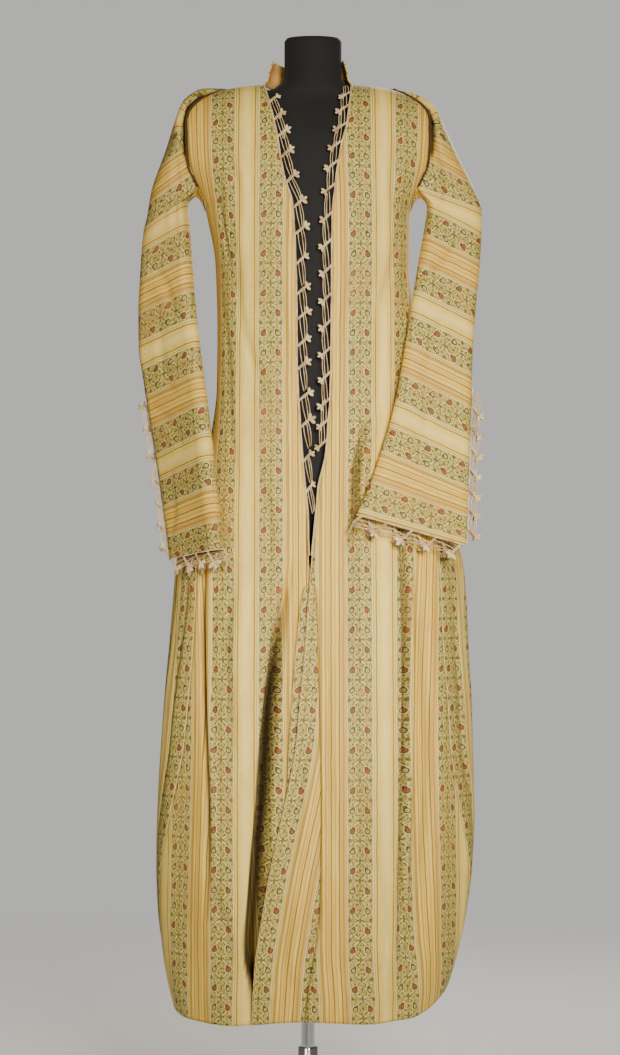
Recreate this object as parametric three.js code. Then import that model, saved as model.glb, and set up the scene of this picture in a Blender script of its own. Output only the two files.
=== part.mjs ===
// An entari: a long open-fronted robe of striped cloth with needle-lace edges, on a limbless dress form.
// Millimetres, +Z up. The origin is on the floor, at the centre of the stand's base.
// The robe's front faces -Y. Right and left are the wearer's, so the right side is at -X.
import * as THREE from 'three';

// ---------------------------------------------------------------- driving dimensions
const WALL = 2;                 // thickness of the cloth
const SEAM = 0.3;               // gap between two pieces at a seam
const ARMPIT_Z = 1454;          // height of the armpits; the shoulders' dome starts here
const NECK_HALF = 71;           // half-width of the neck opening at the shoulder seam
const SECTION_POWER = 2.4;      // roundness of the robe's horizontal sections
const DOME_POWER = 2.5;         // roundness of the shoulders seen from the side
const HEM_BLEND_Z = 300;        // below this height the rows bend to the hem's own curve
const HEM_ROW = 150;            // the row value that stands for the hem itself
const RIDGE_Y = 8;              // how far the shoulder line lies behind the stand's axis
const CENTRE_X = 8;             // the robe and form hang this far to the left of the rod

// ---------------------------------------------------------------- small tools
const { lerp, degToRad, radToDeg, clamp } = THREE.MathUtils;

// Rises softly from 0 to 1 as the value goes between two ends, in either order.
function smooth(value, from, to) {
  const t = clamp((value - from) / (to - from), 0, 1);
  return t * t * (3 - 2 * t);
}

// Reads one column of a table at a key's value, along a smooth curve that never overshoots its rows.
function read(table, key, at, column) {
  const last = table.length - 1;
  if (at <= table[0][key]) return table[0][column];
  if (at >= table[last][key]) return table[last][column];
  const i = table.findIndex((row) => row[key] > at) - 1;
  const slope = (k) => (table[k + 1][column] - table[k][column]) / (table[k + 1][key] - table[k][key]);
  const tangent = (k) => {
    const before = slope(Math.max(k - 1, 0));
    const after = slope(Math.min(k, last - 1));
    return before * after <= 0 ? 0 : (2 * before * after) / (before + after);
  };
  const span = table[i + 1][key] - table[i][key];
  const t = (at - table[i][key]) / span;
  const start = table[i][column] * (1 + 2 * t) * (1 - t) ** 2 + tangent(i) * span * t * (1 - t) ** 2;
  return start + table[i + 1][column] * t * t * (3 - 2 * t) + tangent(i + 1) * span * t * t * (t - 1);
}

// A closed wall between an outer and an inner grid of points. Cells for which open() is true are left out.
function thickSheet(outer, inner, open = () => false) {
  const rows = outer.length;
  const columns = outer[0].length;
  const positions = [];
  const index = [];
  for (const grid of [outer, inner]) {
    for (const row of grid) for (const point of row) positions.push(point.x, point.y, point.z);
  }
  const id = (side, r, c) => side * rows * columns + r * columns + c;
  const has = (r, c) => r >= 0 && c >= 0 && r < rows - 1 && c < columns - 1 && !open(r, c);
  const quad = (a, b, c, d) => index.push(a, b, c, a, c, d);
  for (let r = 0; r < rows - 1; r++) {
    for (let c = 0; c < columns - 1; c++) {
      if (!has(r, c)) continue;
      quad(id(0, r, c), id(0, r, c + 1), id(0, r + 1, c + 1), id(0, r + 1, c));
      quad(id(1, r, c), id(1, r + 1, c), id(1, r + 1, c + 1), id(1, r, c + 1));
      if (!has(r - 1, c)) quad(id(0, r, c), id(1, r, c), id(1, r, c + 1), id(0, r, c + 1));
      if (!has(r + 1, c)) quad(id(1, r + 1, c + 1), id(1, r + 1, c), id(0, r + 1, c), id(0, r + 1, c + 1));
      if (!has(r, c - 1)) quad(id(1, r + 1, c), id(1, r, c), id(0, r, c), id(0, r + 1, c));
      if (!has(r, c + 1)) quad(id(0, r, c + 1), id(1, r, c + 1), id(1, r + 1, c + 1), id(0, r + 1, c + 1));
    }
  }
  return closedGeometry(positions, index);
}

// Makes a geometry of the triangles, turned so that its faces point outwards, with no unused point.
function closedGeometry(positions, index) {
  let volume = 0;
  const p = (i) => new THREE.Vector3().fromArray(positions, 3 * i);
  for (let i = 0; i < index.length; i += 3) {
    volume += p(index[i]).dot(p(index[i + 1]).cross(p(index[i + 2])));
  }
  if (volume < 0) for (let i = 0; i < index.length; i += 3) [index[i], index[i + 1]] = [index[i + 1], index[i]];
  const kept = new Map();
  const points = [];
  const triangles = index.map((i) => {
    if (!kept.has(i)) {
      kept.set(i, kept.size);
      points.push(...positions.slice(3 * i, 3 * i + 3));
    }
    return kept.get(i);
  });
  const geometry = new THREE.BufferGeometry();
  geometry.setAttribute('position', new THREE.Float32BufferAttribute(points, 3));
  geometry.setIndex(triangles);
  geometry.computeVertexNormals();
  return geometry;
}

const object = new THREE.Group();
function piece(name, geometry, material) {
  const mesh = new THREE.Mesh(geometry, material);
  mesh.name = name;
  object.add(mesh);
}

const cloth = new THREE.MeshStandardMaterial({ color: 0xcdb98a, roughness: 0.75, metalness: 0 });
const lace = new THREE.MeshStandardMaterial({ color: 0xcbbd9c, roughness: 0.85, metalness: 0 });
const jersey = new THREE.MeshStandardMaterial({ color: 0x17171c, roughness: 0.9, metalness: 0 });
const chrome = new THREE.MeshStandardMaterial({ color: 0xd0d2d6, roughness: 0.12, metalness: 1 });

// ---------------------------------------------------------------- the robe's body
// Horizontal sections: the reach to the right (-X) and left (+X) of x = 0, and to the front and back of y = 0.
const SECTIONS = [
  { z: 150, right: -208, left: 204, front: 143, back: 142 },
  { z: 193, right: -218, left: 216, front: 150, back: 148 },
  { z: 225, right: -226, left: 228, front: 156, back: 153 },
  { z: 273, right: -234, left: 243, front: 163, back: 160 },
  { z: 353, right: -242, left: 260, front: 172, back: 168 },
  { z: 433, right: -245, left: 269, front: 176, back: 172 },
  { z: 513, right: -243, left: 271, front: 175, back: 172 },
  { z: 609, right: -237, left: 268, front: 169, back: 168 },
  { z: 673, right: -232, left: 266, front: 164, back: 163 },
  { z: 753, right: -224, left: 259, front: 157, back: 156 },
  { z: 833, right: -216, left: 253, front: 148, back: 147 },
  { z: 897, right: -210, left: 246, front: 139, back: 139 },
  { z: 977, right: -187, left: 216, front: 124, back: 123 },
  { z: 1041, right: -168, left: 193, front: 113, back: 111 },
  { z: 1105, right: -154, left: 178, front: 104, back: 102 },
  { z: 1171, right: -146, left: 171, front: 98, back: 97 },
  { z: 1267, right: -145, left: 169, front: 100, back: 99 },
  { z: 1369, right: -148, left: 162, front: 106, back: 103 },
  { z: ARMPIT_Z, right: -163, left: 163, front: 105, back: 104 },
];
// Above the armpits the sections widen to the shoulders: the dome's reach, by its rise from 0 to 1.
const DOME = [
  { rise: 0, reach: 163 },
  { rise: 0.2, reach: 181 },
  { rise: 0.4, reach: 205 },
  { rise: 0.7, reach: 226 },
  { rise: 0.9, reach: 235 },
  { rise: 1, reach: 240 },
];
// The shoulder line's height, by its distance from the middle.
const SHOULDER = [
  { out: 0, z: 1657 },
  { out: 70, z: 1657 },
  { out: 125, z: 1651 },
  { out: 160, z: 1642 },
  { out: 192, z: 1629 },
  { out: 215, z: 1612 },
];
// The hem's height, by the angle round the robe: 0 is the front, +90 the wearer's left side.
const HEM = [
  { angle: -180, z: 196 },
  { angle: -135, z: 198 },
  { angle: -90, z: 192 },
  { angle: -60, z: 176 },
  { angle: -30, z: 172 },
  { angle: -3, z: 180 },
  { angle: 22, z: 176 },
  { angle: 45, z: 181 },
  { angle: 60, z: 194 },
  { angle: 75, z: 220 },
  { angle: 92, z: 250 },
  { angle: 115, z: 246 },
  { angle: 145, z: 214 },
  { angle: 180, z: 196 },
];
// Soft folds that run down the robe: the angle at the top and the foot, the fold's half-width in degrees,
// its depth (inward is positive), and the heights between which it runs.
const FOLDS = [
  { name: 'left front, beside the yellow band', top: 35.5, foot: 34, half: 7, depth: 9, high: 930, low: 230 },
  { name: 'left front, swell beside it', top: 26, foot: 24, half: 9, depth: -5, high: 900, low: 260 },
  { name: 'left front, at the gore', top: 60, foot: 57, half: 8, depth: 4, high: 1000, low: 380 },
  { name: 'right front, towards the side', top: -46, foot: -52, half: 8, depth: 5, high: 960, low: 260 },
  { name: 'right front, swell of the band', top: -25, foot: -33, half: 8, depth: -4, high: 860, low: 300 },
  { name: 'left side', top: 88, foot: 92, half: 11, depth: 7, high: 900, low: 300 },
  { name: 'right side', top: -92, foot: -96, half: 10, depth: 6, high: 860, low: 240 },
  { name: 'back, outer left', top: 128, foot: 122, half: 9, depth: 13, high: 1010, low: 190 },
  { name: 'back, inner left', top: 152, foot: 150, half: 8, depth: 15, high: 1080, low: 190 },
  { name: 'back, middle', top: 176, foot: 180, half: 7, depth: 9, high: 960, low: 190 },
  { name: 'back, inner right', top: -155, foot: -151, half: 8, depth: 17, high: 1100, low: 190 },
  { name: 'back, outer right', top: -131, foot: -124, half: 10, depth: 11, high: 980, low: 190 },
];
// The deep fold down the right front, beside the overlap: its place and half-width at each height.
const VALLEY = [
  { z: 170, x: -93, half: 13, depth: 10 },
  { z: 230, x: -92, half: 15, depth: 20 },
  { z: 295, x: -90, half: 17, depth: 30 },
  { z: 451, x: -78, half: 19, depth: 34 },
  { z: 620, x: -58, half: 18, depth: 34 },
  { z: 744, x: -46, half: 15, depth: 24 },
  { z: 875, x: -30, half: 9, depth: 5 },
  { z: 910, x: -27, half: 8, depth: 0 },
];

// The edges and seams of the fronts, as X on the robe's surface at each height.
const RIGHT_EDGE = [
  { z: 150, x: 12 },
  { z: 217, x: 17 },
  { z: 374, x: 27 },
  { z: 528, x: 23 },
  { z: 682, x: 16 },
  { z: 837, x: 7 },
  { z: 899, x: 0.5 },
  { z: 975, x: -1.5 },
  { z: 1017, x: -6 },
  { z: 1105, x: -13 },
  { z: 1215, x: -18.5 },
  { z: 1304, x: -19 },
  { z: 1406, x: -22 },
  { z: 1461, x: -26 },
  { z: 1499, x: -38 },
  { z: 1589, x: -54 },
  { z: 1640, x: -67 },
  { z: 1657, x: -NECK_HALF },
];
const LEFT_EDGE = [
  { z: 150, x: -85 },
  { z: 256, x: -82 },
  { z: 374, x: -66 },
  { z: 465, x: -48 },
  { z: 528, x: -34 },
  { z: 613, x: -18 },
  { z: 682, x: -12 },
  { z: 756, x: -4.5 },
  { z: 837, x: 1 },
  { z: 886, x: 5 },
  { z: 962, x: 12.5 },
  { z: 1017, x: 18 },
  { z: 1064, x: 29 },
  { z: 1115, x: 33 },
  { z: 1155, x: 36 },
  { z: 1271, x: 38 },
  { z: 1426, x: 39 },
  { z: 1499, x: 45.5 },
  { z: 1552, x: 54 },
  { z: 1583, x: 62 },
  { z: 1657, x: NECK_HALF },
];
// The seams between each front and its front gore. They start at the closing point.
const FRONT_GORE_TOP = 862;
const RIGHT_GORE_SEAM = [
  { z: 150, x: -55 },
  { z: 295, x: -50 },
  { z: 451, x: -41 },
  { z: 559, x: -33 },
  { z: 682, x: -25 },
  { z: 837, x: -10 },
  { z: 862, x: -3 },
];
const LEFT_GORE_SEAM = [
  { z: 150, x: -5 },
  { z: 217, x: 1 },
  { z: 374, x: 19 },
  { z: 528, x: 20 },
  { z: 682, x: 17 },
  { z: 837, x: 13 },
  { z: 862, x: 9 },
];
// The side gores' front and back seams, as angles at each height. The gores start under the arms.
const SIDE_GORE_TOP = 1250;
const SIDE_GORE = [
  { z: 150, front: 87, back: 150 },
  { z: 250, front: 84, back: 147 },
  { z: 383, front: 74, back: 138 },
  { z: 500, front: 61.5, back: 130 },
  { z: 614, front: 54, back: 125 },
  { z: 750, front: 52.5, back: 120 },
  { z: 897, front: 54, back: 114 },
  { z: 1041, front: 69, back: 107 },
  { z: 1171, front: 83, back: 98 },
  { z: SIDE_GORE_TOP, front: 88, back: 92.5 },
];
// The armholes, by the dome angle: how far out each point of their front and back edges lies.
const ARMHOLE = [
  { dome: 0, out: 163 },
  { dome: 3, out: 167 },
  { dome: 8, out: 175 },
  { dome: 20, out: 190 },
  { dome: 38, out: 192 },
  { dome: 50, out: 192 },
  { dome: 60, out: 188 },
  { dome: 68, out: 176 },
  { dome: 80, out: 150 },
  { dome: 90, out: 128 },
];

// A row is a height up to the armpits, and ARMPIT_Z plus the dome's angle in degrees above them.
const domeRow = (angle) => ARMPIT_Z + angle;

// The surface point at an angle round the robe and a row, lifted along the section's normal.
function robePoint(angle, row, lift = 0) {
  const domeAngle = Math.max(0, row - ARMPIT_Z);
  const a = degToRad(angle);
  const power = 2 / SECTION_POWER;
  const sine = Math.sign(Math.sin(a)) * Math.abs(Math.sin(a)) ** power;
  const cosine = Math.sign(Math.cos(a)) * Math.abs(Math.cos(a)) ** power;
  if (domeAngle > 0) {
    const dome = degToRad(Math.min(domeAngle, 90));
    const rise = Math.sin(dome) ** (2 / DOME_POWER);
    const shrink = Math.max(0, Math.cos(dome)) ** (2 / DOME_POWER);
    const low = SECTIONS.find((section) => section.z === ARMPIT_Z);
    const x = read(DOME, 'rise', rise, 'reach') * sine + lift * sine * shrink;
    const depth = (cosine > 0 ? low.front : low.back) + lift;
    const top = read(SHOULDER, 'out', Math.abs(x), 'z') + lift;
    return new THREE.Vector3(x, RIDGE_Y * rise - depth * cosine * shrink, lerp(ARMPIT_Z, top, rise));
  }
  const hem = read(HEM, 'angle', ((angle + 540) % 360) - 180, 'z');
  const z = row < HEM_BLEND_Z ? lerp(hem, HEM_BLEND_Z, (row - HEM_ROW) / (HEM_BLEND_Z - HEM_ROW)) : row;
  const middle = CENTRE_X * smooth(z, 1300, 1100);
  const reach = sine < 0 ? middle - read(SECTIONS, 'z', z, 'right') : read(SECTIONS, 'z', z, 'left') - middle;
  const depth = read(SECTIONS, 'z', z, cosine > 0 ? 'front' : 'back');
  const base = new THREE.Vector3(middle + reach * sine, -depth * cosine, z);
  const normal = new THREE.Vector3(
    Math.sign(sine) * Math.abs(sine) ** (SECTION_POWER - 1) / reach,
    -Math.sign(cosine) * Math.abs(cosine) ** (SECTION_POWER - 1) / depth,
    0,
  ).normalize();
  let fold = 0;
  for (const f of FOLDS) {
    const along = (z - f.low) / (f.high - f.low);
    const centre = lerp(f.foot, f.top, along);
    const off = Math.abs(((angle - centre + 540) % 360) - 180) / f.half;
    const fade = smooth(along, 1, 0.55) * smooth(along, -0.5, 0.15);
    if (off < 2) fold += f.depth * fade * Math.cos((off * Math.PI) / 4) ** 2;
  }
  return base.addScaledVector(normal, lift - fold);
}

// The angle at which the front of the robe has this X.
function frontAngle(x, row) {
  const edge = row > ARMPIT_Z;
  const domeAngle = degToRad(Math.min(90, Math.max(0, row - ARMPIT_Z)));
  const rise = Math.sin(domeAngle) ** (2 / DOME_POWER);
  const middle = CENTRE_X * smooth(row, 1300, 1100);
  const right = middle - read(SECTIONS, 'z', row, 'right');
  const left = read(SECTIONS, 'z', row, 'left') - middle;
  const off = edge ? x : x - middle;
  const reach = edge ? read(DOME, 'rise', rise, 'reach') : off < 0 ? right : left;
  const share = Math.min(1, Math.abs(off) / reach);
  return Math.sign(off) * radToDeg(Math.asin(share ** (SECTION_POWER / 2)));
}

// A height table read at a row: on the dome the row's angle is turned into the height at that X first.
function edgeX(table, row) {
  if (row <= ARMPIT_Z) return read(table, 'z', row, 'x');
  const rise = Math.sin(degToRad(Math.min(90, row - ARMPIT_Z))) ** (2 / DOME_POWER);
  let x = read(table, 'z', ARMPIT_Z, 'x');
  for (let i = 0; i < 4; i++) {
    x = read(table, 'z', lerp(ARMPIT_Z, read(SHOULDER, 'out', Math.abs(x), 'z'), rise), 'x');
  }
  return x;
}

const edgeAngle = (table, row) => frontAngle(edgeX(table, row), row);
const armholeAngle = (row) => Math.abs(frontAngle(read(ARMHOLE, 'dome', row - ARMPIT_Z, 'out'), row));

// The right front and its gore: the surface with the deep fold, running behind the left front's edge.
// It sinks between two distances before that edge, and between the heights where the robe opens and closes.
const LAP = { depth: 8, start: 30, full: 4, open: 1010, closed: 880 };
function rightFrontPoint(angle, row, lift = 0) {
  const flat = robePoint(angle, row, 0);
  const off = flat.x - read(VALLEY, 'z', row, 'x');
  const half = read(VALLEY, 'z', row, 'half');
  const valley = Math.abs(off) < half ? Math.cos((off / half) * (Math.PI / 2)) ** 2 : 0;
  const lapFrom = edgeX(LEFT_EDGE, row);
  const lap = smooth(flat.x, lapFrom - LAP.start, lapFrom - LAP.full) * smooth(row, LAP.open, LAP.closed);
  return robePoint(angle, row, lift - valley * read(VALLEY, 'z', row, 'depth') - lap * LAP.depth);
}

// The outward normal of a surface, from its slopes.
function normalOf(surface, angle, row) {
  const step = 0.4;
  const domeEdge = row >= domeRow(90) - step;
  const across = surface(angle + step, row).sub(surface(angle - step, row));
  if (domeEdge) {
    const up = new THREE.Vector3(-across.z, 0, across.x);
    return up.multiplyScalar(Math.sign(across.x)).normalize();
  }
  const above = surface(angle, row === ARMPIT_Z ? row : row + step);
  const below = surface(angle, row > ARMPIT_Z ? Math.max(row - step, ARMPIT_Z + 0.01) : row - step);
  return across.cross(above.sub(below)).normalize();
}

// A panel of the robe between two edges. Each row has columns at the guides, with some between them.
function panelGrid(surface, rows, guides) {
  const outer = [];
  const inner = [];
  for (const row of rows) {
    const at = guides.map((guide) => guide.at(row));
    const first = at[0];
    const last = at[at.length - 1];
    const turn = Math.sign(last - first);
    const perDegree = surface(first, row).distanceTo(surface(first + turn, row));
    const gap = (SEAM / 2) / Math.max(perDegree, 0.5);
    at[0] = first + turn * gap;
    at[at.length - 1] = last - turn * gap;
    const angles = [at[0]];
    for (let g = 1; g < at.length; g++) {
      for (let c = 1; c <= guides[g].cells; c++) angles.push(lerp(at[g - 1], at[g], c / guides[g].cells));
    }
    const faces = angles.map((angle) => surface(angle, row));
    const walls = angles.map((angle, i) =>
      faces[i].clone().addScaledVector(normalOf(surface, angle, row), -WALL),
    );
    if (row >= domeRow(90)) {
      const side = Math.abs(angles[0]) < 90 ? -1 : 1;
      for (const point of [...faces, ...walls]) point.y += side * SEAM;
    }
    outer.push(faces);
    inner.push(walls);
  }
  return { outer, inner };
}

const SKIRT_ROWS = [150, 200, 250, 300, 360, 430, 500, 570, 640, 700, 760, 812, FRONT_GORE_TOP];
const WAIST_ROWS = [905, 965, 1035, 1105, 1175, SIDE_GORE_TOP, 1350, ARMPIT_Z];
const DOME_ROWS = [3, 8, 20, 38, 50, 60, 68, 70, 74, 80, 85, 90].map(domeRow);
const BODY_ROWS = [...SKIRT_ROWS, ...WAIST_ROWS, ...DOME_ROWS];

// The outer edge of a front or back: the side seam, the gore's seam or the armhole.
function sideAngle(row, column) {
  if (row > ARMPIT_Z) return column === 'front' ? armholeAngle(row) : 180 - armholeAngle(row);
  if (row > SIDE_GORE_TOP) {
    const share = smooth(row, SIDE_GORE_TOP, SIDE_GORE_TOP + 90);
    return lerp(read(SIDE_GORE, 'z', SIDE_GORE_TOP, column), 90, share);
  }
  return read(SIDE_GORE, 'z', row, column);
}

// The fronts' inner edge: the opening's edge, and below the closing point the front gore's seam.
const frontSeam = (gore, edge, row) => edgeAngle(row <= FRONT_GORE_TOP ? gore : edge, row);
const rightSide = (row) => -sideAngle(row, 'front');
const rightSeam = (row) => frontSeam(RIGHT_GORE_SEAM, RIGHT_EDGE, row);

// A column that follows the deep fold and spreads evenly over the panel above it, from this height up.
const VALLEY_SPREAD_Z = 1080;
function valleyColumn(side, share) {
  return (row) => {
    const inFold = Math.min(row, FRONT_GORE_TOP);
    const x = read(VALLEY, 'z', inFold, 'x') + side * read(VALLEY, 'z', inFold, 'half');
    const even = lerp(rightSide(row), rightSeam(row), share);
    return lerp(frontAngle(x, inFold), even, smooth(row, FRONT_GORE_TOP, VALLEY_SPREAD_Z));
  };
}

function panel(name, surface, rows, guides) {
  const { outer, inner } = panelGrid(surface, rows, guides);
  piece(name, thickSheet(outer, inner), cloth);
}

panel('front_right', rightFrontPoint, BODY_ROWS, [
  { at: rightSide },
  { at: valleyColumn(-1, 0.58), cells: 7 },
  { at: valleyColumn(-0.5, 0.66), cells: 1 },
  { at: valleyColumn(0, 0.75), cells: 1 },
  { at: valleyColumn(0.5, 0.84), cells: 1 },
  { at: rightSeam, cells: 2 },
]);
panel('front_gore_right', rightFrontPoint, SKIRT_ROWS, [
  { at: rightSeam },
  { at: (row) => edgeAngle(RIGHT_EDGE, row), cells: 3 },
]);
panel('front_gore_left', robePoint, SKIRT_ROWS, [
  { at: (row) => edgeAngle(LEFT_EDGE, row) },
  { at: (row) => edgeAngle(LEFT_GORE_SEAM, row), cells: 3 },
]);
panel('front_left', robePoint, BODY_ROWS, [
  { at: (row) => frontSeam(LEFT_GORE_SEAM, LEFT_EDGE, row) },
  { at: (row) => sideAngle(row, 'front'), cells: 10 },
]);
const GORE_ROWS = BODY_ROWS.filter((row) => row <= SIDE_GORE_TOP);
for (const [name, side] of [['side_gore_right', -1], ['side_gore_left', 1]]) {
  panel(name, robePoint, GORE_ROWS, [
    { at: (row) => side * read(SIDE_GORE, 'z', row, 'front') },
    { at: (row) => side * read(SIDE_GORE, 'z', row, 'back'), cells: 6 },
  ]);
}

// The back's neckline, by the dome angle: half the neck's width there.
const BACK_NECK = [
  { dome: 68, x: 0 },
  { dome: 70, x: 30 },
  { dome: 74, x: 48 },
  { dome: 80, x: 62 },
  { dome: 85, x: 68 },
  { dome: 90, x: NECK_HALF },
];
const backInner = (row) => {
  const x = read(BACK_NECK, 'dome', row - ARMPIT_Z, 'x');
  return 180 - frontAngle(x, Math.max(row, ARMPIT_Z));
};
for (const [name, side] of [['back_right', -1], ['back_left', 1]]) {
  panel(name, robePoint, BODY_ROWS, [
    { at: (row) => side * sideAngle(row, 'back') },
    { at: (row) => side * backInner(row), cells: 9 },
  ]);
}

// ---------------------------------------------------------------- the sleeves
// Each sleeve is one piece folded along the top of the arm, from the front armhole edge round to the back one.
// The top row lies along the armhole's top, between two dome angles. A head row starts at the armhole,
// at a dome angle. An arm row starts at the underarm seam, at in.
// out is the fold, and from the slit down the open outer edge; half is half the sleeve's thickness there.
const SLEEVE_RIGHT = [
  { dome: 80, top: 90, slit: 0 },
  { dome: 74, out: [-170, 8, 1650], half: 25, round: 0.75, slit: 0 },
  { dome: 68, out: [-184, 8, 1645], half: 32, round: 0.75, slit: 0 },
  { dome: 60, out: [-200, 7, 1632], half: 38, round: 0.75, slit: 0 },
  { dome: 50, out: [-215, 6, 1594], half: 44, round: 0.75, slit: 0 },
  { dome: 38, out: [-227, 4, 1555], half: 46, round: 0.75, slit: 0 },
  { dome: 20, out: [-251, 4, 1487], half: 42, round: 0.72, slit: 0 },
  { dome: 8, out: [-258, 6, 1447], half: 34, round: 0.62, slit: 0 },
  { in: [-192, -2, 1468], out: [-263, 8, 1424], half: 27, round: 0.5, slit: 0 },
  { in: [-190, -12, 1430], out: [-266, 10, 1391], half: 22, round: 0.35, slit: 0 },
  { in: [-187, -24, 1383], out: [-268, 12, 1346], half: 19, round: 0.25, slit: 0 },
  { in: [-183, -36, 1326], out: [-270, 14, 1290], half: 17, round: 0.2, slit: 0 },
  { in: [-177, -48, 1270], out: [-269, 14, 1233], half: 15, round: 0.16, slit: 0 },
  { in: [-172, -60, 1227], out: [-262, 12, 1190], half: 14, round: 0.14, slit: 0 },
  { in: [-165, -72, 1174], out: [-252, 8, 1138], half: 14, round: 0.12, slit: 4.5 },
  { in: [-158, -86, 1119], out: [-241, 2, 1082], half: 14, round: 0.1, slit: 6.5 },
  { in: [-152, -100, 1063], out: [-231, -8, 1029], half: 14, round: 0.1, slit: 8 },
  { in: [-146, -116, 1008], out: [-223, -26, 977], half: 14, round: 0.1, slit: 9 },
  { in: [-140, -136, 961], out: [-216, -48, 935], half: 14, round: 0.1, slit: 10 },
  { in: [-134, -156, 917], out: [-210, -70, 900], half: 14, round: 0.1, slit: 11 },
];
const SLEEVE_LEFT = [
  { dome: 80, top: 90, slit: 0 },
  { dome: 74, out: [168, 8, 1641], half: 25, round: 0.75, slit: 0 },
  { dome: 68, out: [184, 8, 1634], half: 32, round: 0.75, slit: 0 },
  { dome: 60, out: [202, 7, 1620], half: 38, round: 0.75, slit: 0 },
  { dome: 50, out: [217, 5, 1594], half: 44, round: 0.75, slit: 0 },
  { dome: 38, out: [235, 0, 1553], half: 46, round: 0.75, slit: 0 },
  { dome: 20, out: [265, -4, 1490], half: 42, round: 0.72, slit: 0 },
  { dome: 8, out: [278, -6, 1455], half: 34, round: 0.62, slit: 0 },
  { in: [190, -10, 1463], out: [278, -8, 1420], half: 27, round: 0.5, slit: 0 },
  { in: [186, -30, 1426], out: [275, -12, 1384], half: 21, round: 0.35, slit: 0 },
  { in: [178, -44, 1382], out: [271, -18, 1339], half: 18, round: 0.25, slit: 0 },
  { in: [168, -58, 1325], out: [265, -26, 1280], half: 16, round: 0.2, slit: 0 },
  { in: [159, -68, 1269], out: [261, -36, 1220], half: 14, round: 0.16, slit: 0 },
  { in: [151, -76, 1221], out: [259, -44, 1170], half: 13, round: 0.14, slit: 0 },
  { in: [143, -85, 1174], out: [256, -52, 1121], half: 13, round: 0.12, slit: 4.5 },
  { in: [130, -98, 1118], out: [253, -64, 1062], half: 12, round: 0.1, slit: 6 },
  { in: [114, -112, 1068], out: [250, -78, 1012], half: 12, round: 0.1, slit: 7 },
  { in: [99, -126, 1023], out: [248, -92, 970], half: 12, round: 0.1, slit: 8 },
  { in: [87, -137, 995], out: [247, -103, 944], half: 12, round: 0.1, slit: 8 },
  { in: [76, -147, 970], out: [245, -112, 922], half: 12, round: 0.1, slit: 8 },
];
const ARMHOLE_GAP = 1.2;
const FOLD_GAP = 0.7;           // half the width of the folded edge
const INNER_ROUND = 0.14;       // the share of the width over which the underarm side rounds
const HEAD_ROUND = 0.06;        // the same at the armhole

// The two points of a sleeve's seam at the armhole, for a dome angle: just outside the robe's own edge.
function armholeEdges(side, dome) {
  return ['front', 'back'].map((face) => {
    const angleAt = (row) => side * sideAngle(row, face);
    const row = domeRow(dome);
    const at = robePoint(angleAt(row), row);
    const out = normalOf(robePoint, angleAt(row), row);
    const below = robePoint(angleAt(row - 2), row - 2);
    const off = at.clone().sub(below).cross(out).normalize();
    at.addScaledVector(off, ARMHOLE_GAP * Math.sign(off.x) * side);
    return { at, out };
  });
}

// Where a row's two layers start and end, and its thickness across the middle.
function sleeveRow(side, spec) {
  if (spec.top) {
    const knee = armholeEdges(side, (spec.dome + spec.top) / 2);
    return { low: armholeEdges(side, spec.dome), knee, top: armholeEdges(side, spec.top) };
  }
  const out = new THREE.Vector3(...spec.out);
  const row = { half: spec.half, round: spec.round, edge: spec.slit || FOLD_GAP };
  if (spec.dome) {
    row.ends = armholeEdges(side, spec.dome);
    row.middle = row.ends[0].at.clone().add(row.ends[1].at).multiplyScalar(0.5);
    row.gap = (row.ends[1].at.y - row.ends[0].at.y) / 2;
    row.inner = HEAD_ROUND;
    row.along = out.sub(row.middle);
    row.normal = new THREE.Vector3(0, -1, 0);
  } else {
    row.middle = new THREE.Vector3(...spec.in);
    row.gap = SEAM / 2;
    row.inner = INNER_ROUND;
    row.along = out.sub(row.middle);
    row.normal = new THREE.Vector3(side * row.along.y, -side * row.along.x, 0).normalize();
  }
  return row;
}

// A point of a sleeve row: t runs from the underarm (0) to the outer edge (1), on the front layer (+1)
// or the back one (-1). The first and last third of t round the two edges.
const ZONES = 1 / 3;
function topRow(row, face, key, t) {
  const [from, to] = t < 0.5 ? [row.low, row.knee] : [row.knee, row.top];
  return from[face][key].clone().lerp(to[face][key], t < 0.5 ? 2 * t : 2 * t - 1);
}
function sleevePoint(row, t, layer) {
  const face = layer > 0 ? 0 : 1;
  if (row.top) return topRow(row, face, 'at', t);
  let share;
  let width;
  if (t < ZONES) {
    const turn = (t / ZONES) * (Math.PI / 2);
    share = row.inner * (1 - Math.cos(turn));
    width = Math.sqrt(row.gap ** 2 + (row.half ** 2 - row.gap ** 2) * Math.sin(turn) ** 2);
  } else if (t <= 1 - ZONES) {
    share = lerp(row.inner, 1 - row.round, (t - ZONES) / (1 - 2 * ZONES));
    width = row.half;
  } else {
    const turn = ((1 - t) / ZONES) * (Math.PI / 2);
    share = 1 - row.round * (1 - Math.cos(turn));
    width = Math.sqrt(row.edge ** 2 + (row.half ** 2 - row.edge ** 2) * Math.sin(turn) ** 2);
  }
  return row.middle.clone().addScaledVector(row.along, share).addScaledVector(row.normal, layer * width);
}

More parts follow.
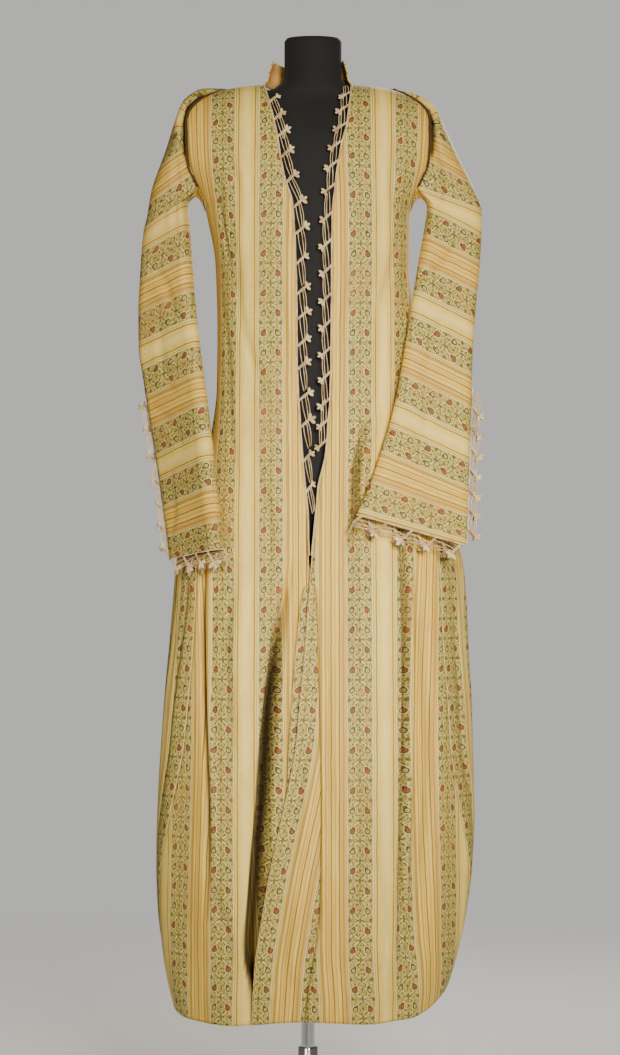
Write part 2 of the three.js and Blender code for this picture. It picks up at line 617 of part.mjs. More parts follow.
const SLEEVE_COLUMNS = [0, 1 / 9, 2 / 9, 1 / 3, 1 / 2, 2 / 3, 7 / 9, 8 / 9, 1];
function sleeveGrid(side, table) {
  const rows = table.map((spec) => sleeveRow(side, spec));
  const stops = [
    ...SLEEVE_COLUMNS.map((t) => ({ t, layer: 1 })),
    ...[...SLEEVE_COLUMNS].reverse().map((t) => ({ t, layer: -1 })),
  ];
  const step = 0.004;
  const outer = rows.map((row) => stops.map(({ t, layer }) => sleevePoint(row, t, layer)));
  const inner = rows.map((row, r) =>
    stops.map(({ t, layer }, c) => {
      const ahead = sleevePoint(row, Math.min(1, t + step), layer);
      const behind = sleevePoint(row, Math.max(0, t - step), layer);
      const across = ahead.sub(behind).multiplyScalar(layer * side);
      const down = outer[Math.max(0, r - 1)][c].clone().sub(outer[Math.min(rows.length - 1, r + 1)][c]);
      const face = layer > 0 ? 0 : 1;
      let out = across.cross(down).normalize();
      if (row.top) out = topRow(row, face, 'out', t).normalize();
      if (row.ends && t === 0) out = row.ends[face].out;
      return outer[r][c].clone().addScaledVector(out, -WALL);
    }),
  );
  return { rows, outer, inner };
}

const middleCell = SLEEVE_COLUMNS.length - 1;
const sleeves = [['right', -1, SLEEVE_RIGHT], ['left', 1, SLEEVE_LEFT]].map(([name, side, table]) => {
  const grid = sleeveGrid(side, table);
  const slitTop = table.findIndex((row) => row.slit > 0) - 1;
  const slit = (r, c) => c === middleCell && r >= slitTop;
  piece(`sleeve_${name}`, thickSheet(grid.outer, grid.inner, slit), cloth);
  return { name, side, grid, slitTop };
});

// ---------------------------------------------------------------- the underarm gussets
// Each gusset is a small arched lens between the armhole's foot and the head of the underarm seam.
const GUSSET_COLUMNS = [0.12, 0.225, 0.36, 0.5, 0.64, 0.775, 0.88];
const GUSSET_ROWS = [0, 0.2, 0.5, 0.8, 1];
const GUSSET_ARCH = 15;
const GUSSET_EDGE = [0, 3, 8];  // the dome angles of the armhole's corners beside it, from its foot to its tip
const GUSSET_KNEE = 0.55;       // where the middle corner lies, as a share of the way to the tip
const GUSSET_GAP = 1.8;

function gussetSurface({ side, grid }) {
  const head = grid.rows.findIndex((row, r) => row.ends && !grid.rows[r + 1].ends);
  const seam = grid.rows[head + 1].middle;
  const corner = (face, dome) => {
    const row = domeRow(dome);
    return dome ? robePoint(side * sideAngle(row, face), row) : robePoint(side * 90, ARMPIT_Z);
  };
  return (u, v) => {
    const face = u < 0.5 ? 'front' : 'back';
    const toTip = Math.abs(u - 0.5) * 2;
    const [foot, knee, tip] = GUSSET_EDGE.map((dome) => corner(face, dome));
    const onRobe = toTip < GUSSET_KNEE
      ? foot.lerp(knee, toTip / GUSSET_KNEE)
      : knee.lerp(tip, (toTip - GUSSET_KNEE) / (1 - GUSSET_KNEE));
    const onSleeve = seam.clone().lerp(grid.rows[head].ends[face === 'front' ? 0 : 1].at, toTip);
    const across = onSleeve.clone().sub(onRobe).normalize();
    onRobe.addScaledVector(across, GUSSET_GAP);
    onSleeve.addScaledVector(across, -0.5 * GUSSET_GAP).add(new THREE.Vector3(0, 0, 1.3 * GUSSET_GAP));
    const arch = GUSSET_ARCH * 4 * v * (1 - v) * Math.sin(Math.PI * u);
    return onRobe.lerp(onSleeve, v).add(new THREE.Vector3(0, 0, arch));
  };
}

for (const sleeve of sleeves) {
  const surface = gussetSurface(sleeve);
  const step = 0.01;
  const outer = GUSSET_ROWS.map((v) => GUSSET_COLUMNS.map((u) => surface(u, v)));
  const inner = GUSSET_ROWS.map((v, r) =>
    GUSSET_COLUMNS.map((u, c) => {
      const along = surface(u + step, v).sub(surface(u - step, v));
      const across = surface(u, Math.min(1, v + step)).sub(surface(u, Math.max(0, v - step)));
      const out = across.cross(along).multiplyScalar(-sleeve.side).normalize();
      return outer[r][c].clone().addScaledVector(out, out.z > 0 ? WALL : -WALL);
    }),
  );
  piece(`gusset_${sleeve.name}`, thickSheet(outer, inner), cloth);
}

// ---------------------------------------------------------------- the collar
// A low band that stands on the neckline, from one front edge round the back to the other.
const COLLAR_HEIGHT = 38;
const COLLAR_LEAN = 13;         // how far its top lies inside its foot
const COLLAR_ROLL = 2;          // how far its lower half rolls inwards
const COLLAR_ROWS = [0, 0.12, 0.35, 0.7, 1];
const COLLAR_FRONT = 80;        // the dome angle where the collar ends at the front

function collarFeet() {
  const frontRows = [COLLAR_FRONT, (COLLAR_FRONT + 90) / 2].map(domeRow);
  const backNeck = BACK_NECK.filter(({ x }) => x > 0).map(({ dome }) => domeRow(dome));
  return [
    ...frontRows.map((row) => robePoint(edgeAngle(RIGHT_EDGE, row), row)),
    ...[...backNeck].reverse().map((row) => robePoint(-backInner(row), row)),
    robePoint(180, domeRow(BACK_NECK[0].dome)),
    ...backNeck.map((row) => robePoint(backInner(row), row)),
    ...[...frontRows].reverse().map((row) => robePoint(edgeAngle(LEFT_EDGE, row), row)),
  ];
}

const NECK_CENTRE = new THREE.Vector3(4, 4, 0);
const collarPoint = (foot, v, depth) => {
  const inward = NECK_CENTRE.clone().sub(foot).setZ(0).normalize();
  const lean = ARMHOLE_GAP + COLLAR_LEAN * v + COLLAR_ROLL * Math.sin(Math.PI * Math.min(1, v * 2));
  const rise = ARMHOLE_GAP + COLLAR_HEIGHT * v;
  return foot.clone().addScaledVector(inward, lean + depth).add(new THREE.Vector3(0, 0, rise));
};
const feet = collarFeet();
piece('collar', thickSheet(
  COLLAR_ROWS.map((v) => feet.map((foot) => collarPoint(foot, v, 0))),
  COLLAR_ROWS.map((v) => feet.map((foot) => collarPoint(foot, v, WALL))),
), cloth);

// ---------------------------------------------------------------- the needle lace
// A strip of lace runs along an edge: a root thread, an outer thread joined to it by bars, and a slanted spur
// with a knob at each repeat. Its path turns a distance along the edge, a height and a lift into a point.
const LACE_THICK = 1.6;
const LACE_THREAD = 1.8;        // width of the root and the outer thread
const THREAD_SHARE = 0.45;      // the outer thread's height, as a share of the knob's

// The outline over one repeat: where along it (-1 to 1) and how high (1 is the knob's top).
const LACE_SPUR = [
  { w: -0.62, v: THREAD_SHARE },
  { w: -0.16, v: 0.68 },
  { w: -0.18, v: 0.93 },
  { w: 0.1, v: 1 },
  { w: 0.2, v: 0.72 },
  { w: -0.26, v: THREAD_SHARE * 1.04 },
];

function laceStrip(name, path, knobs, slant, holesEach) {
  const count = knobs.length;
  const flat = [];
  const rings = [];
  const point = (s, v) => flat.push(new THREE.Vector2(s, v)) - 1;
  const spans = knobs.map(({ s, v }, i) => {
    const before = i ? (s - knobs[i - 1].s) / 2 : (knobs[1].s - s) / 2;
    const after = i < count - 1 ? (knobs[i + 1].s - s) / 2 : before;
    return { v, at: (w) => s + w * (w < 0 ? before : after) };
  });
  const border = (span, w) => [point(span.at(w), 0), point(span.at(w), span.v * THREAD_SHARE * 0.93)];
  let start = border(spans[0], -1);
  const cells = spans.map((span) => {
    const end = border(span, 1);
    const spur = LACE_SPUR.map(({ w, v }) => point(span.at(w * slant), span.v * v));
    if (slant > 0) spur.reverse();
    const contour = [start[0], point(span.at(0), 0.25), end[0], end[1], ...spur, start[1]];
    const low = LACE_THREAD + 0.2;
    const high = span.v * THREAD_SHARE * 0.97 - LACE_THREAD;
    const reach = holesEach === 2 ? [[-0.9, -0.08], [0.08, 0.9]] : [[-0.84, 0.84]];
    const holes = reach.map(([from, to]) => {
      const lean = 0.1 * (to - from);
      return [
        point(span.at(from), low),
        point(span.at(from + lean), high),
        point(span.at(to - lean), high - 0.2),
        point(span.at(to), low + 0.2),
      ];
    });
    start = end;
    rings.push(...holes);
    return { contour, holes };
  });
  const base = flat.length;
  const index = [];
  const wall = (a, b) => index.push(b, a, base + a, b, base + a, base + b);
  cells.forEach(({ contour, holes }, i) => {
    const used = [contour, ...holes].flat();
    const at = (list) => list.map((k) => flat[k]);
    for (const face of THREE.ShapeUtils.triangulateShape(at(contour), holes.map(at))) {
      const [a, b, c] = face.map((k) => used[k]);
      const turn = flat[b].clone().sub(flat[a]).cross(flat[c].clone().sub(flat[a]));
      const [p, q] = turn > 0 ? [b, c] : [c, b];
      index.push(a, p, q, base + a, base + q, base + p);
    }
    contour.forEach((a, k) => {
      const shared = (k === 2 && i < count - 1) || (k === contour.length - 1 && i > 0);
      if (!shared) wall(a, contour[(k + 1) % contour.length]);
    });
  });
  for (const ring of rings) ring.forEach((a, k) => wall(a, ring[(k + 1) % ring.length]));
  const positions = [LACE_THICK / 2, -LACE_THICK / 2].flatMap((lift) =>
    flat.flatMap(({ x, y }) => path(x, y, lift).toArray()),
  );
  piece(name, closedGeometry(positions, index), lace);
}

// The front edges: knobs at their heights, with the lace's width there.
const LACE_RIGHT = [
  { z: 1017, v: 15 }, { z: 1064, v: 17 }, { z: 1118, v: 21 }, { z: 1160, v: 21 },
  { z: 1209, v: 20 }, { z: 1245, v: 21 }, { z: 1287, v: 21 }, { z: 1328, v: 20 },
  { z: 1375, v: 20 }, { z: 1420, v: 21 }, { z: 1463, v: 20 }, { z: 1502, v: 22 },
  { z: 1541, v: 22 }, { z: 1576, v: 21 }, { z: 1603, v: 20 }, { z: 1630, v: 18 },
];
const LACE_LEFT = [
  { z: 1075, v: 16 }, { z: 1106, v: 17 }, { z: 1140, v: 18 }, { z: 1180, v: 18 },
  { z: 1221, v: 18 }, { z: 1262, v: 18 }, { z: 1303, v: 18 }, { z: 1347, v: 18 },
  { z: 1388, v: 18 }, { z: 1431, v: 18 }, { z: 1477, v: 18 }, { z: 1513, v: 18 },
  { z: 1545, v: 18 }, { z: 1576, v: 18 }, { z: 1607, v: 18 }, { z: 1632, v: 17 },
];
const LACE_GAP = 1.1;

// A path along a track of points, each with the directions in which the lace's width and lift run.
function trackPath(track) {
  let s = 0;
  track.forEach((stop, i) => {
    if (i) s += stop.at.distanceTo(track[i - 1].at);
    stop.s = s;
  });
  const path = (along, v, lift) => {
    const i = Math.max(1, track.findIndex((stop) => stop.s >= Math.min(along, s)));
    const [a, b] = [track[i - 1], track[i]];
    const t = (along - a.s) / (b.s - a.s);
    const mix = (key) => a[key].clone().lerp(b[key], t);
    return mix('at').addScaledVector(mix('width').normalize(), v).addScaledVector(mix('out').normalize(), lift);
  };
  return { path, length: s };
}

function frontLace(name, table, edge, toward) {
  const rows = BODY_ROWS.filter((row) => row > FRONT_GORE_TOP && row <= domeRow(85));
  const track = rows.map((row) => {
    const start = edgeAngle(edge, row);
    const at = robePoint(start, row);
    const width = robePoint(start + toward, row).sub(at).normalize();
    const out = normalOf(robePoint, start, row);
    return { z: at.z, at: at.addScaledVector(width, LACE_GAP).addScaledVector(out, -WALL / 2), width, out };
  });
  const { path } = trackPath(track);
  laceStrip(name, path, table.map(({ z, v }) => ({ s: read(track, 'z', z, 's'), v })), toward, 2);
}
frontLace('lace_front_right', LACE_RIGHT, RIGHT_EDGE, 1);
frontLace('lace_front_left', LACE_LEFT, LEFT_EDGE, -1);

const SLIT_LACE = { repeats: 7, v: 19, top: 22, foot: 4, gap: 1.5 };
const CUFF_LACE = { right: { repeats: 8, v: 26 }, left: { repeats: 9, v: 26 } };
const evenKnobs = (from, to, repeats, v) =>
  Array.from({ length: repeats }, (unused, i) => ({ s: lerp(from, to, (i + 0.5) / repeats), v }));

for (const { name, side, grid, slitTop } of sleeves) {
  const last = grid.rows.length - 1;
  for (const [face, layer, column] of [['front', 1, middleCell], ['back', -1, middleCell + 1]]) {
    const track = grid.rows.slice(slitTop).map((row, i) => {
      const width = row.along.clone().normalize();
      const at = grid.outer[slitTop + i][column].clone().addScaledVector(width, SLIT_LACE.gap);
      return { at, width, out: row.normal };
    });
    const { path, length } = trackPath(track);
    const knobs = evenKnobs(SLIT_LACE.top, length - SLIT_LACE.foot, SLIT_LACE.repeats, SLIT_LACE.v);
    laceStrip(`lace_slit_${face}_${name}`, path, knobs, side, 1);
  }
  const columns = SLEEVE_COLUMNS.map((t, c) => c);
  const ring = [...columns.reverse(), ...columns.map((c) => middleCell + 1 + c)];
  const track = ring.map((c) => {
    const middle = (r) => grid.outer[r][c].clone().add(grid.inner[r][c]).multiplyScalar(0.5);
    const width = middle(last).sub(middle(last - 1)).normalize();
    const out = grid.outer[last][c].clone().sub(grid.inner[last][c]).normalize();
    return { at: middle(last).addScaledVector(width, LACE_GAP), width, out };
  });
  const { path, length } = trackPath(track);
  const { repeats, v } = CUFF_LACE[name];
  laceStrip(`lace_cuff_${name}`, path, evenKnobs(2, length - 2, repeats, v), 1, 2);
}

// ---------------------------------------------------------------- the dress form and its stand
// The form's level rings: half-width, half-depth and roundness at each height.
const FORM = [
  { z: 790, x: 128, y: 76, power: 2.3 },
  { z: 804, x: 150, y: 92, power: 2.3 },
  { z: 880, x: 158, y: 100, power: 2.3 },
  { z: 980, x: 148, y: 98, power: 2.3 },
  { z: 1080, x: 121, y: 84, power: 2.3 },
  { z: 1160, x: 108, y: 76, power: 2.3 },
  { z: 1260, x: 120, y: 83, power: 2.3 },
  { z: 1360, x: 133, y: 90, power: 2.3 },
  { z: 1450, x: 144, y: 92, power: 2.3 },
  { z: 1520, x: 150, y: 86, power: 2.3 },
  { z: 1570, x: 154, y: 75, power: 2.3 },
  { z: 1605, x: 152, y: 58, power: 2.2 },
  { z: 1628, x: 132, y: 44, power: 2.1 },
  { z: 1642, x: 92, y: 40, power: 2 },
  { z: 1652, x: 60, y: 42, power: 2 },
  { z: 1668, x: 46, y: 40, power: 2 },
  { z: 1700, x: 46, y: 36, power: 2 },
  { z: 1725, x: 46, y: 36, power: 2 },
  { z: 1731, x: 42, y: 33, power: 2 },
];
const FORM_SIDES = 24;

// A closed solid through level rings, with flat ends.
function ringSolid(rings, sides, centreX) {
  const positions = [];
  const index = [];
  for (const ring of rings) {
    for (let i = 0; i < sides; i++) {
      const a = (2 * Math.PI * i) / sides;
      const round = (value) => Math.sign(value) * Math.abs(value) ** (2 / ring.power);
      positions.push(centreX + ring.x * round(Math.cos(a)), ring.y * round(Math.sin(a)), ring.z);
    }
  }
  const top = (rings.length - 1) * sides;
  for (let r = 0; r < rings.length - 1; r++) {
    for (let i = 0; i < sides; i++) {
      const next = (i + 1) % sides;
      const [a, b, c, d] = [r * sides + i, r * sides + next, (r + 1) * sides + next, (r + 1) * sides + i];
      index.push(a, b, c, a, c, d);
    }
  }
  for (let i = 1; i < sides - 1; i++) {
    index.push(0, i + 1, i);
    index.push(top, top + i, top + i + 1);
  }
  return closedGeometry(positions, index);
}

// A solid of revolution about the stand's axis, from its outline.
const turned = (outline, sides) => {
  const geometry = new THREE.LatheGeometry(outline.map(([r, z]) => new THREE.Vector2(r, z)), sides);
  return geometry.rotateX(Math.PI / 2);
};

const BASE_RADIUS = 180;
const BASE_THICK = 8;
const POLE_RADIUS = 11;
const SOCKET = { bore: 11.4, radius: 16, lip: 18, lipHeight: 12, top: 118 };
const FORM_BOTTOM = FORM[0].z;

piece('form', ringSolid(FORM, FORM_SIDES, CENTRE_X), jersey);
piece('pole', turned([
  [0, BASE_THICK + SEAM],
  [POLE_RADIUS, BASE_THICK + SEAM],
  [POLE_RADIUS, FORM_BOTTOM - SEAM],
  [0, FORM_BOTTOM - SEAM],
], 20), chrome);
piece('socket', turned([
  [SOCKET.bore, BASE_THICK + SEAM],
  [SOCKET.lip, BASE_THICK + SEAM],
  [SOCKET.lip, SOCKET.lipHeight + BASE_THICK],
  [SOCKET.radius, SOCKET.lipHeight + BASE_THICK + 2],
  [SOCKET.radius, SOCKET.top - 1.5],
  [SOCKET.radius - 1.5, SOCKET.top],
  [SOCKET.bore, SOCKET.top],
  [SOCKET.bore, BASE_THICK + SEAM],
], 16), chrome);
piece('base', turned([
  [0, 0],
  [BASE_RADIUS, 0],
  [BASE_RADIUS, BASE_THICK - 3],
  [BASE_RADIUS - 3, BASE_THICK],
  [0, BASE_THICK],
], 32), chrome);

export default object;
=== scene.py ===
import math

import bpy
import numpy as np
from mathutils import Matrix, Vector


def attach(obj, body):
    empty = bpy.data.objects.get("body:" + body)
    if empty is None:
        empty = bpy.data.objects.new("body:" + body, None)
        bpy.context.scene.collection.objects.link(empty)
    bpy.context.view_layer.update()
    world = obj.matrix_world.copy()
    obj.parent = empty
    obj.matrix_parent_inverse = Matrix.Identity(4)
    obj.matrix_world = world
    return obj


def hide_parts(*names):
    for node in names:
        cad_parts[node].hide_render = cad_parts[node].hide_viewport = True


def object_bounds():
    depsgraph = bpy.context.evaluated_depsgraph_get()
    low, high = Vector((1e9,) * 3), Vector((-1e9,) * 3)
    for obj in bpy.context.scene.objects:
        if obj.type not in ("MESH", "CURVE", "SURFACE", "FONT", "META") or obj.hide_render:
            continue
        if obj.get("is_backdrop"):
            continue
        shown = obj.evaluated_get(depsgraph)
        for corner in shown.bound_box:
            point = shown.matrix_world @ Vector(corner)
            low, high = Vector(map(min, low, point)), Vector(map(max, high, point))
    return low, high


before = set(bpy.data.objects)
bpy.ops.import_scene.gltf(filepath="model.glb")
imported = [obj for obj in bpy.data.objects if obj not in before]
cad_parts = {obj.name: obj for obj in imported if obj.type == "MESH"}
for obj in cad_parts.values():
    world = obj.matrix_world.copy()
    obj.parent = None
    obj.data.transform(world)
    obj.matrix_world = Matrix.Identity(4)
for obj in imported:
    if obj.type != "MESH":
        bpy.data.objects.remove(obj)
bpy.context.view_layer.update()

# A long open robe of striped cloth with needle-lace edges, on a limbless dress form and its stand.
# Tables and cloth coordinates are in millimetres. Every mesh is in metres, in the part's own frame.

# ============================================================== camera, light and floor
# The robe is seen level and straight on from five metres, so its sides hardly converge.
camera = bpy.data.objects.new("camera", bpy.data.cameras.new("camera"))
camera.data.sensor_fit = "VERTICAL"
camera.data.sensor_height = 36
camera.data.lens = 106.6
camera.location = (0.0032, -5.0, 0.949)
camera.rotation_euler = (math.radians(90), 0, 0)
bpy.context.scene.collection.objects.link(camera)
bpy.context.scene.camera = camera

# Two soft lamps in front, brightest at the robe's middle, and one behind that draws the edges.
for name, place, aim, side, watts, spread in [
    ("key", (0.8, -3.7, 1.6), (0, 0, 0.95), 0.9, 14.5, 42),
    ("fill", (-1.6, -3.9, 1.4), (0, 0, 1.0), 1.5, 8, 80),
    ("rim", (1.0, 2.6, 2.6), (0, 0, 1.0), 1.6, 80, 150),
]:
    lamp = bpy.data.objects.new(name, bpy.data.lights.new(name, "AREA"))
    lamp.data.size = side
    lamp.data.energy = watts
    lamp.data.spread = math.radians(spread)
    lamp.data.color = (1.0, 0.94, 0.82)
    lamp.location = place
    back = (place[0] - aim[0], place[1] - aim[1], place[2] - aim[2])
    flat = math.hypot(back[0], back[1])
    lamp.rotation_euler = (math.atan2(flat, back[2]), 0, math.atan2(back[0], -back[1]))
    bpy.context.scene.collection.objects.link(lamp)

world = bpy.data.worlds.new("studio")
world.use_nodes = True
nodes, links = world.node_tree.nodes, world.node_tree.links
nodes["Background"].inputs["Color"].default_value = (0.82, 0.72, 0.56, 1)
nodes["Background"].inputs["Strength"].default_value = 0.2
backdrop = nodes.new("ShaderNodeBackground")
backdrop.inputs["Color"].default_value = (0.80, 0.79, 0.77, 1)
backdrop.inputs["Strength"].default_value = 0.7
seen, choose = nodes.new("ShaderNodeLightPath"), nodes.new("ShaderNodeMixShader")
links.new(seen.outputs["Is Camera Ray"], choose.inputs[0])
links.new(nodes["Background"].outputs[0], choose.inputs[1])
links.new(backdrop.outputs[0], choose.inputs[2])
links.new(choose.outputs[0], nodes["World Output"].inputs["Surface"])
bpy.context.scene.world = world

# The floor is pale and matt, and fades into the backdrop's colour away from the stand.
bpy.ops.object.select_all(action="DESELECT")
bpy.ops.mesh.primitive_circle_add(vertices=96, radius=4.5, fill_type="NGON", location=(0, 0, 0))
floor = bpy.context.object
floor.name = "floor"
paint = bpy.data.materials.new("floor paint")
paint.use_nodes = True
nodes, links = paint.node_tree.nodes, paint.node_tree.links
shader = nodes["Principled BSDF"]
shader.inputs["Base Color"].default_value = (0.72, 0.74, 0.77, 1)
shader.inputs["Roughness"].default_value = 0.75
place = nodes.new("ShaderNodeTexCoord")
reach = nodes.new("ShaderNodeVectorMath")
reach.operation = "LENGTH"
links.new(place.outputs["Object"], reach.inputs[0])
fade = nodes.new("ShaderNodeMapRange")
fade.interpolation_type = "SMOOTHSTEP"
fade.inputs["From Min"].default_value = 0.5
fade.inputs["From Max"].default_value = 3.0
links.new(reach.outputs["Value"], fade.inputs["Value"])
clear = nodes.new("ShaderNodeBsdfTransparent")
mix = nodes.new("ShaderNodeMixShader")
links.new(fade.outputs["Result"], mix.inputs[0])
links.new(shader.outputs[0], mix.inputs[1])
links.new(clear.outputs[0], mix.inputs[2])
links.new(mix.outputs[0], nodes["Material Output"].inputs["Surface"])
floor.data.materials.append(paint)
floor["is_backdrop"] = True


# ============================================================== the stand: base, socket and rod
# The base is a turned steel disc, the socket a bored collar welded on it, and the rod a tube that slides in.
# All three are polished and chrome-plated, with faint wiping marks.
class Field:
    """A value that nodes work out at each point of a surface. It takes part in plain arithmetic."""

    tree = None

    def __init__(self, socket):
        self.socket = socket

    def work(self, operation, *others):
        node = Field.tree.nodes.new("ShaderNodeMath")
        node.operation = operation
        for entry, value in zip(node.inputs, (self, *others)):
            if isinstance(value, Field):
                Field.tree.links.new(value.socket, entry)
            else:
                entry.default_value = value
        return Field(node.outputs[0])

    def __add__(self, other):
        return self.work("ADD", other)

    def __sub__(self, other):
        return self.work("SUBTRACT", other)

    def __mul__(self, other):
        return self.work("MULTIPLY", other)

    def __truediv__(self, other):
        return self.work("DIVIDE", other)

    def wrap(self, low, high):
        return self.work("WRAP", high, low)

    def size(self):
        return self.work("ABSOLUTE")

    def over(self, limit):
        return self.work("GREATER_THAN", limit)

    def highest(self, other):
        return self.work("MAXIMUM", other)

    def length(self, other):
        return (self * self + other * other).work("SQRT")

    def fade(self, low, high):
        """From 0 at low to 1 at high, softly. low may be above high."""
        node = Field.tree.nodes.new("ShaderNodeMapRange")
        node.interpolation_type = "SMOOTHSTEP"
        Field.tree.links.new(self.socket, node.inputs["Value"])
        node.inputs["From Min"].default_value = low
        node.inputs["From Max"].default_value = high
        return Field(node.outputs["Result"])


def tint(red, green, blue):
    """A colour from its screen values, as the light that it sends back."""
    return tuple(((c / 255 + 0.055) / 1.055) ** 2.4 for c in (red, green, blue)) + (1,)


def new_material(name, colour, roughness, metallic=0.0, sheen=0.0):
    """A material with one main shader, and the shader. Fields made after it go into its nodes."""
    made = bpy.data.materials.new(name)
    made.use_nodes = True
    Field.tree = made.node_tree
    main = made.node_tree.nodes["Principled BSDF"]
    main.inputs["Base Color"].default_value = colour
    main.inputs["Roughness"].default_value = roughness
    main.inputs["Metallic"].default_value = metallic
    main.inputs["Sheen Weight"].default_value = sheen
    return made, main


def place_of(kind="Object"):
    """The point's own coordinates, as a vector socket."""
    return Field.tree.nodes.new("ShaderNodeTexCoord").outputs[kind]


def noise(vector, stretch, detail=3.0, rough=0.55):
    """Cloudy noise from 0 to 1, with this many clouds to a unit along each axis."""
    scale = Field.tree.nodes.new("ShaderNodeVectorMath")
    scale.operation = "MULTIPLY"
    scale.inputs[1].default_value = stretch
    Field.tree.links.new(vector, scale.inputs[0])
    node = Field.tree.nodes.new("ShaderNodeTexNoise")
    node.inputs["Scale"].default_value = 1
    node.inputs["Detail"].default_value = detail
    node.inputs["Roughness"].default_value = rough
    Field.tree.links.new(scale.outputs[0], node.inputs["Vector"])
    return Field(node.outputs["Fac"])


def blend(base, top, share):
    """The colour between two colours, each given as a tuple or a socket."""
    node = Field.tree.nodes.new("ShaderNodeMix")
    node.data_type = "RGBA"
    Field.tree.links.new(share.socket, node.inputs[0])
    for entry, colour in ((node.inputs[6], base), (node.inputs[7], top)):
        if isinstance(colour, tuple):
            entry.default_value = colour
        else:
            Field.tree.links.new(colour, entry)
    return node.outputs[2]


def finish(main, colour, roughness, relief, height, strength):
    """Gives the shader a colour and a roughness that vary, and a relief of this height in metres."""
    node = Field.tree.nodes.new("ShaderNodeBump")
    node.inputs["Strength"].default_value = strength
    node.inputs["Distance"].default_value = height
    for output, entry in (
        (colour, main.inputs["Base Color"]), (roughness.socket, main.inputs["Roughness"]),
        (relief.socket, node.inputs["Height"]), (node.outputs["Normal"], main.inputs["Normal"]),
    ):
        Field.tree.links.new(output, entry)


chrome, main = new_material("chrome", tint(205, 207, 212), 0.12, metallic=1.0)
spot = place_of()
smears = noise(spot, (9, 9, 22), 4)
lines = noise(spot, (160, 160, 900), 2)
finish(main, blend(tint(186, 188, 194), tint(222, 224, 228), smears.fade(0.3, 0.7)),
       smears.fade(0.35, 0.8) * 0.14 + lines * 0.05 + 0.05, lines, 0.00002, 0.4)


def turned(name, outline, material, node):
    """A turned piece: its outline, as (radius, height) in millimetres, spun round the stand's axis."""
    mesh = bpy.data.meshes.new(name)
    points = [(r / 1000, 0, z / 1000) for r, z in outline]
    mesh.from_pydata(points, [(i, i + 1) for i in range(len(points) - 1)], [])
    piece = bpy.data.objects.new(name, mesh)
    bpy.context.scene.collection.objects.link(piece)
    bpy.ops.object.select_all(action="DESELECT")
    bpy.context.view_layer.objects.active = piece
    piece.select_set(True)
    bpy.ops.object.mode_set(mode="EDIT")
    bpy.ops.mesh.select_all(action="SELECT")
    bpy.ops.mesh.spin(steps=96, angle=2 * math.pi, center=(0, 0, 0), axis=(0, 0, 1))
    bpy.ops.mesh.select_all(action="SELECT")
    bpy.ops.mesh.remove_doubles(threshold=1e-6)
    bpy.ops.mesh.normals_make_consistent(inside=False)
    bpy.ops.object.mode_set(mode="OBJECT")
    piece.data.materials.append(material)
    bpy.ops.object.shade_smooth_by_angle(angle=math.radians(30))
    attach(piece, "root")
    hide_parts(node)


turned("stand_base", [
    (0, 0), (178.8, 0), (179.7, 0.4), (180, 1.2), (180, 5), (179.6, 6.2), (178.6, 7.3), (177, 8), (0, 8),
], chrome, "base")
turned("stand_socket", [
    (11.4, 8.3), (17.6, 8.3), (18, 8.8), (18, 19.4), (17.6, 20.2), (16.6, 21.2), (16, 22.4),
    (16, 116.4), (15.6, 117.5), (14.5, 118), (12.0, 118), (11.4, 117.4), (11.4, 8.3),
], chrome, "socket")
turned("stand_rod", [
    (0, 8.4), (10.4, 8.4), (11, 9), (11, 789), (10.4, 789.6), (0, 789.6),
], chrome, "pole")


# ============================================================== the dress form
# A limbless torso, moulded and covered in one tight skin of black jersey, with a seam down each side and
# down the middle. Its neck is a plain stump with a flat top.
def curve(table, at, column=1):
    """Reads a column of a table at its first column's values, along a line that never overshoots its rows."""
    table = np.array(table, float)
    keys, values = table[:, 0], table[:, column]
    at = np.clip(np.asarray(at, float), keys[0], keys[-1])
    i = np.clip(np.searchsorted(keys, at, side="right") - 1, 0, len(keys) - 2)
    steps = np.diff(keys)
    slopes = np.diff(values) / steps
    before, after = np.r_[slopes[0], slopes], np.r_[slopes, slopes[-1]]
    same = before * after > 0
    tangents = np.where(same, 2 * before * after / np.where(same, before + after, 1), 0)
    t = (at - keys[i]) / steps[i]
    return (
        values[i] * (1 + 2 * t) * (1 - t) ** 2 + tangents[i] * steps[i] * t * (1 - t) ** 2
        + values[i + 1] * t * t * (3 - 2 * t) + tangents[i + 1] * steps[i] * t * t * (t - 1)
    )


def bend(value, power):
    """A power that keeps the value's sign."""
    return np.sign(value) * np.abs(value) ** power


def unit(vectors):
    """Vectors of length 1 in the same directions."""
    return vectors / np.maximum(np.linalg.norm(vectors, axis=-1, keepdims=True), 1e-9)


def distance(points, axis=0):
    """How far along each point lies on the lines that run down one axis of a grid of points."""
    steps = np.linalg.norm(np.diff(points, axis=axis), axis=-1)
    return np.concatenate([0 * np.take(steps, [0], axis), np.cumsum(steps, axis)], axis)


def grid_faces(rows, columns, skip=lambda r, c: False, close=False):
    """The four-sided faces of a grid of points, row after row."""
    wide = columns if close else columns - 1

    def corner(r, c):
        return r * columns + c % columns

    return [
        (corner(r, c), corner(r, c + 1), corner(r + 1, c + 1), corner(r + 1, c))
        for r in range(rows - 1) for c in range(wide) if not skip(r, c)
    ]


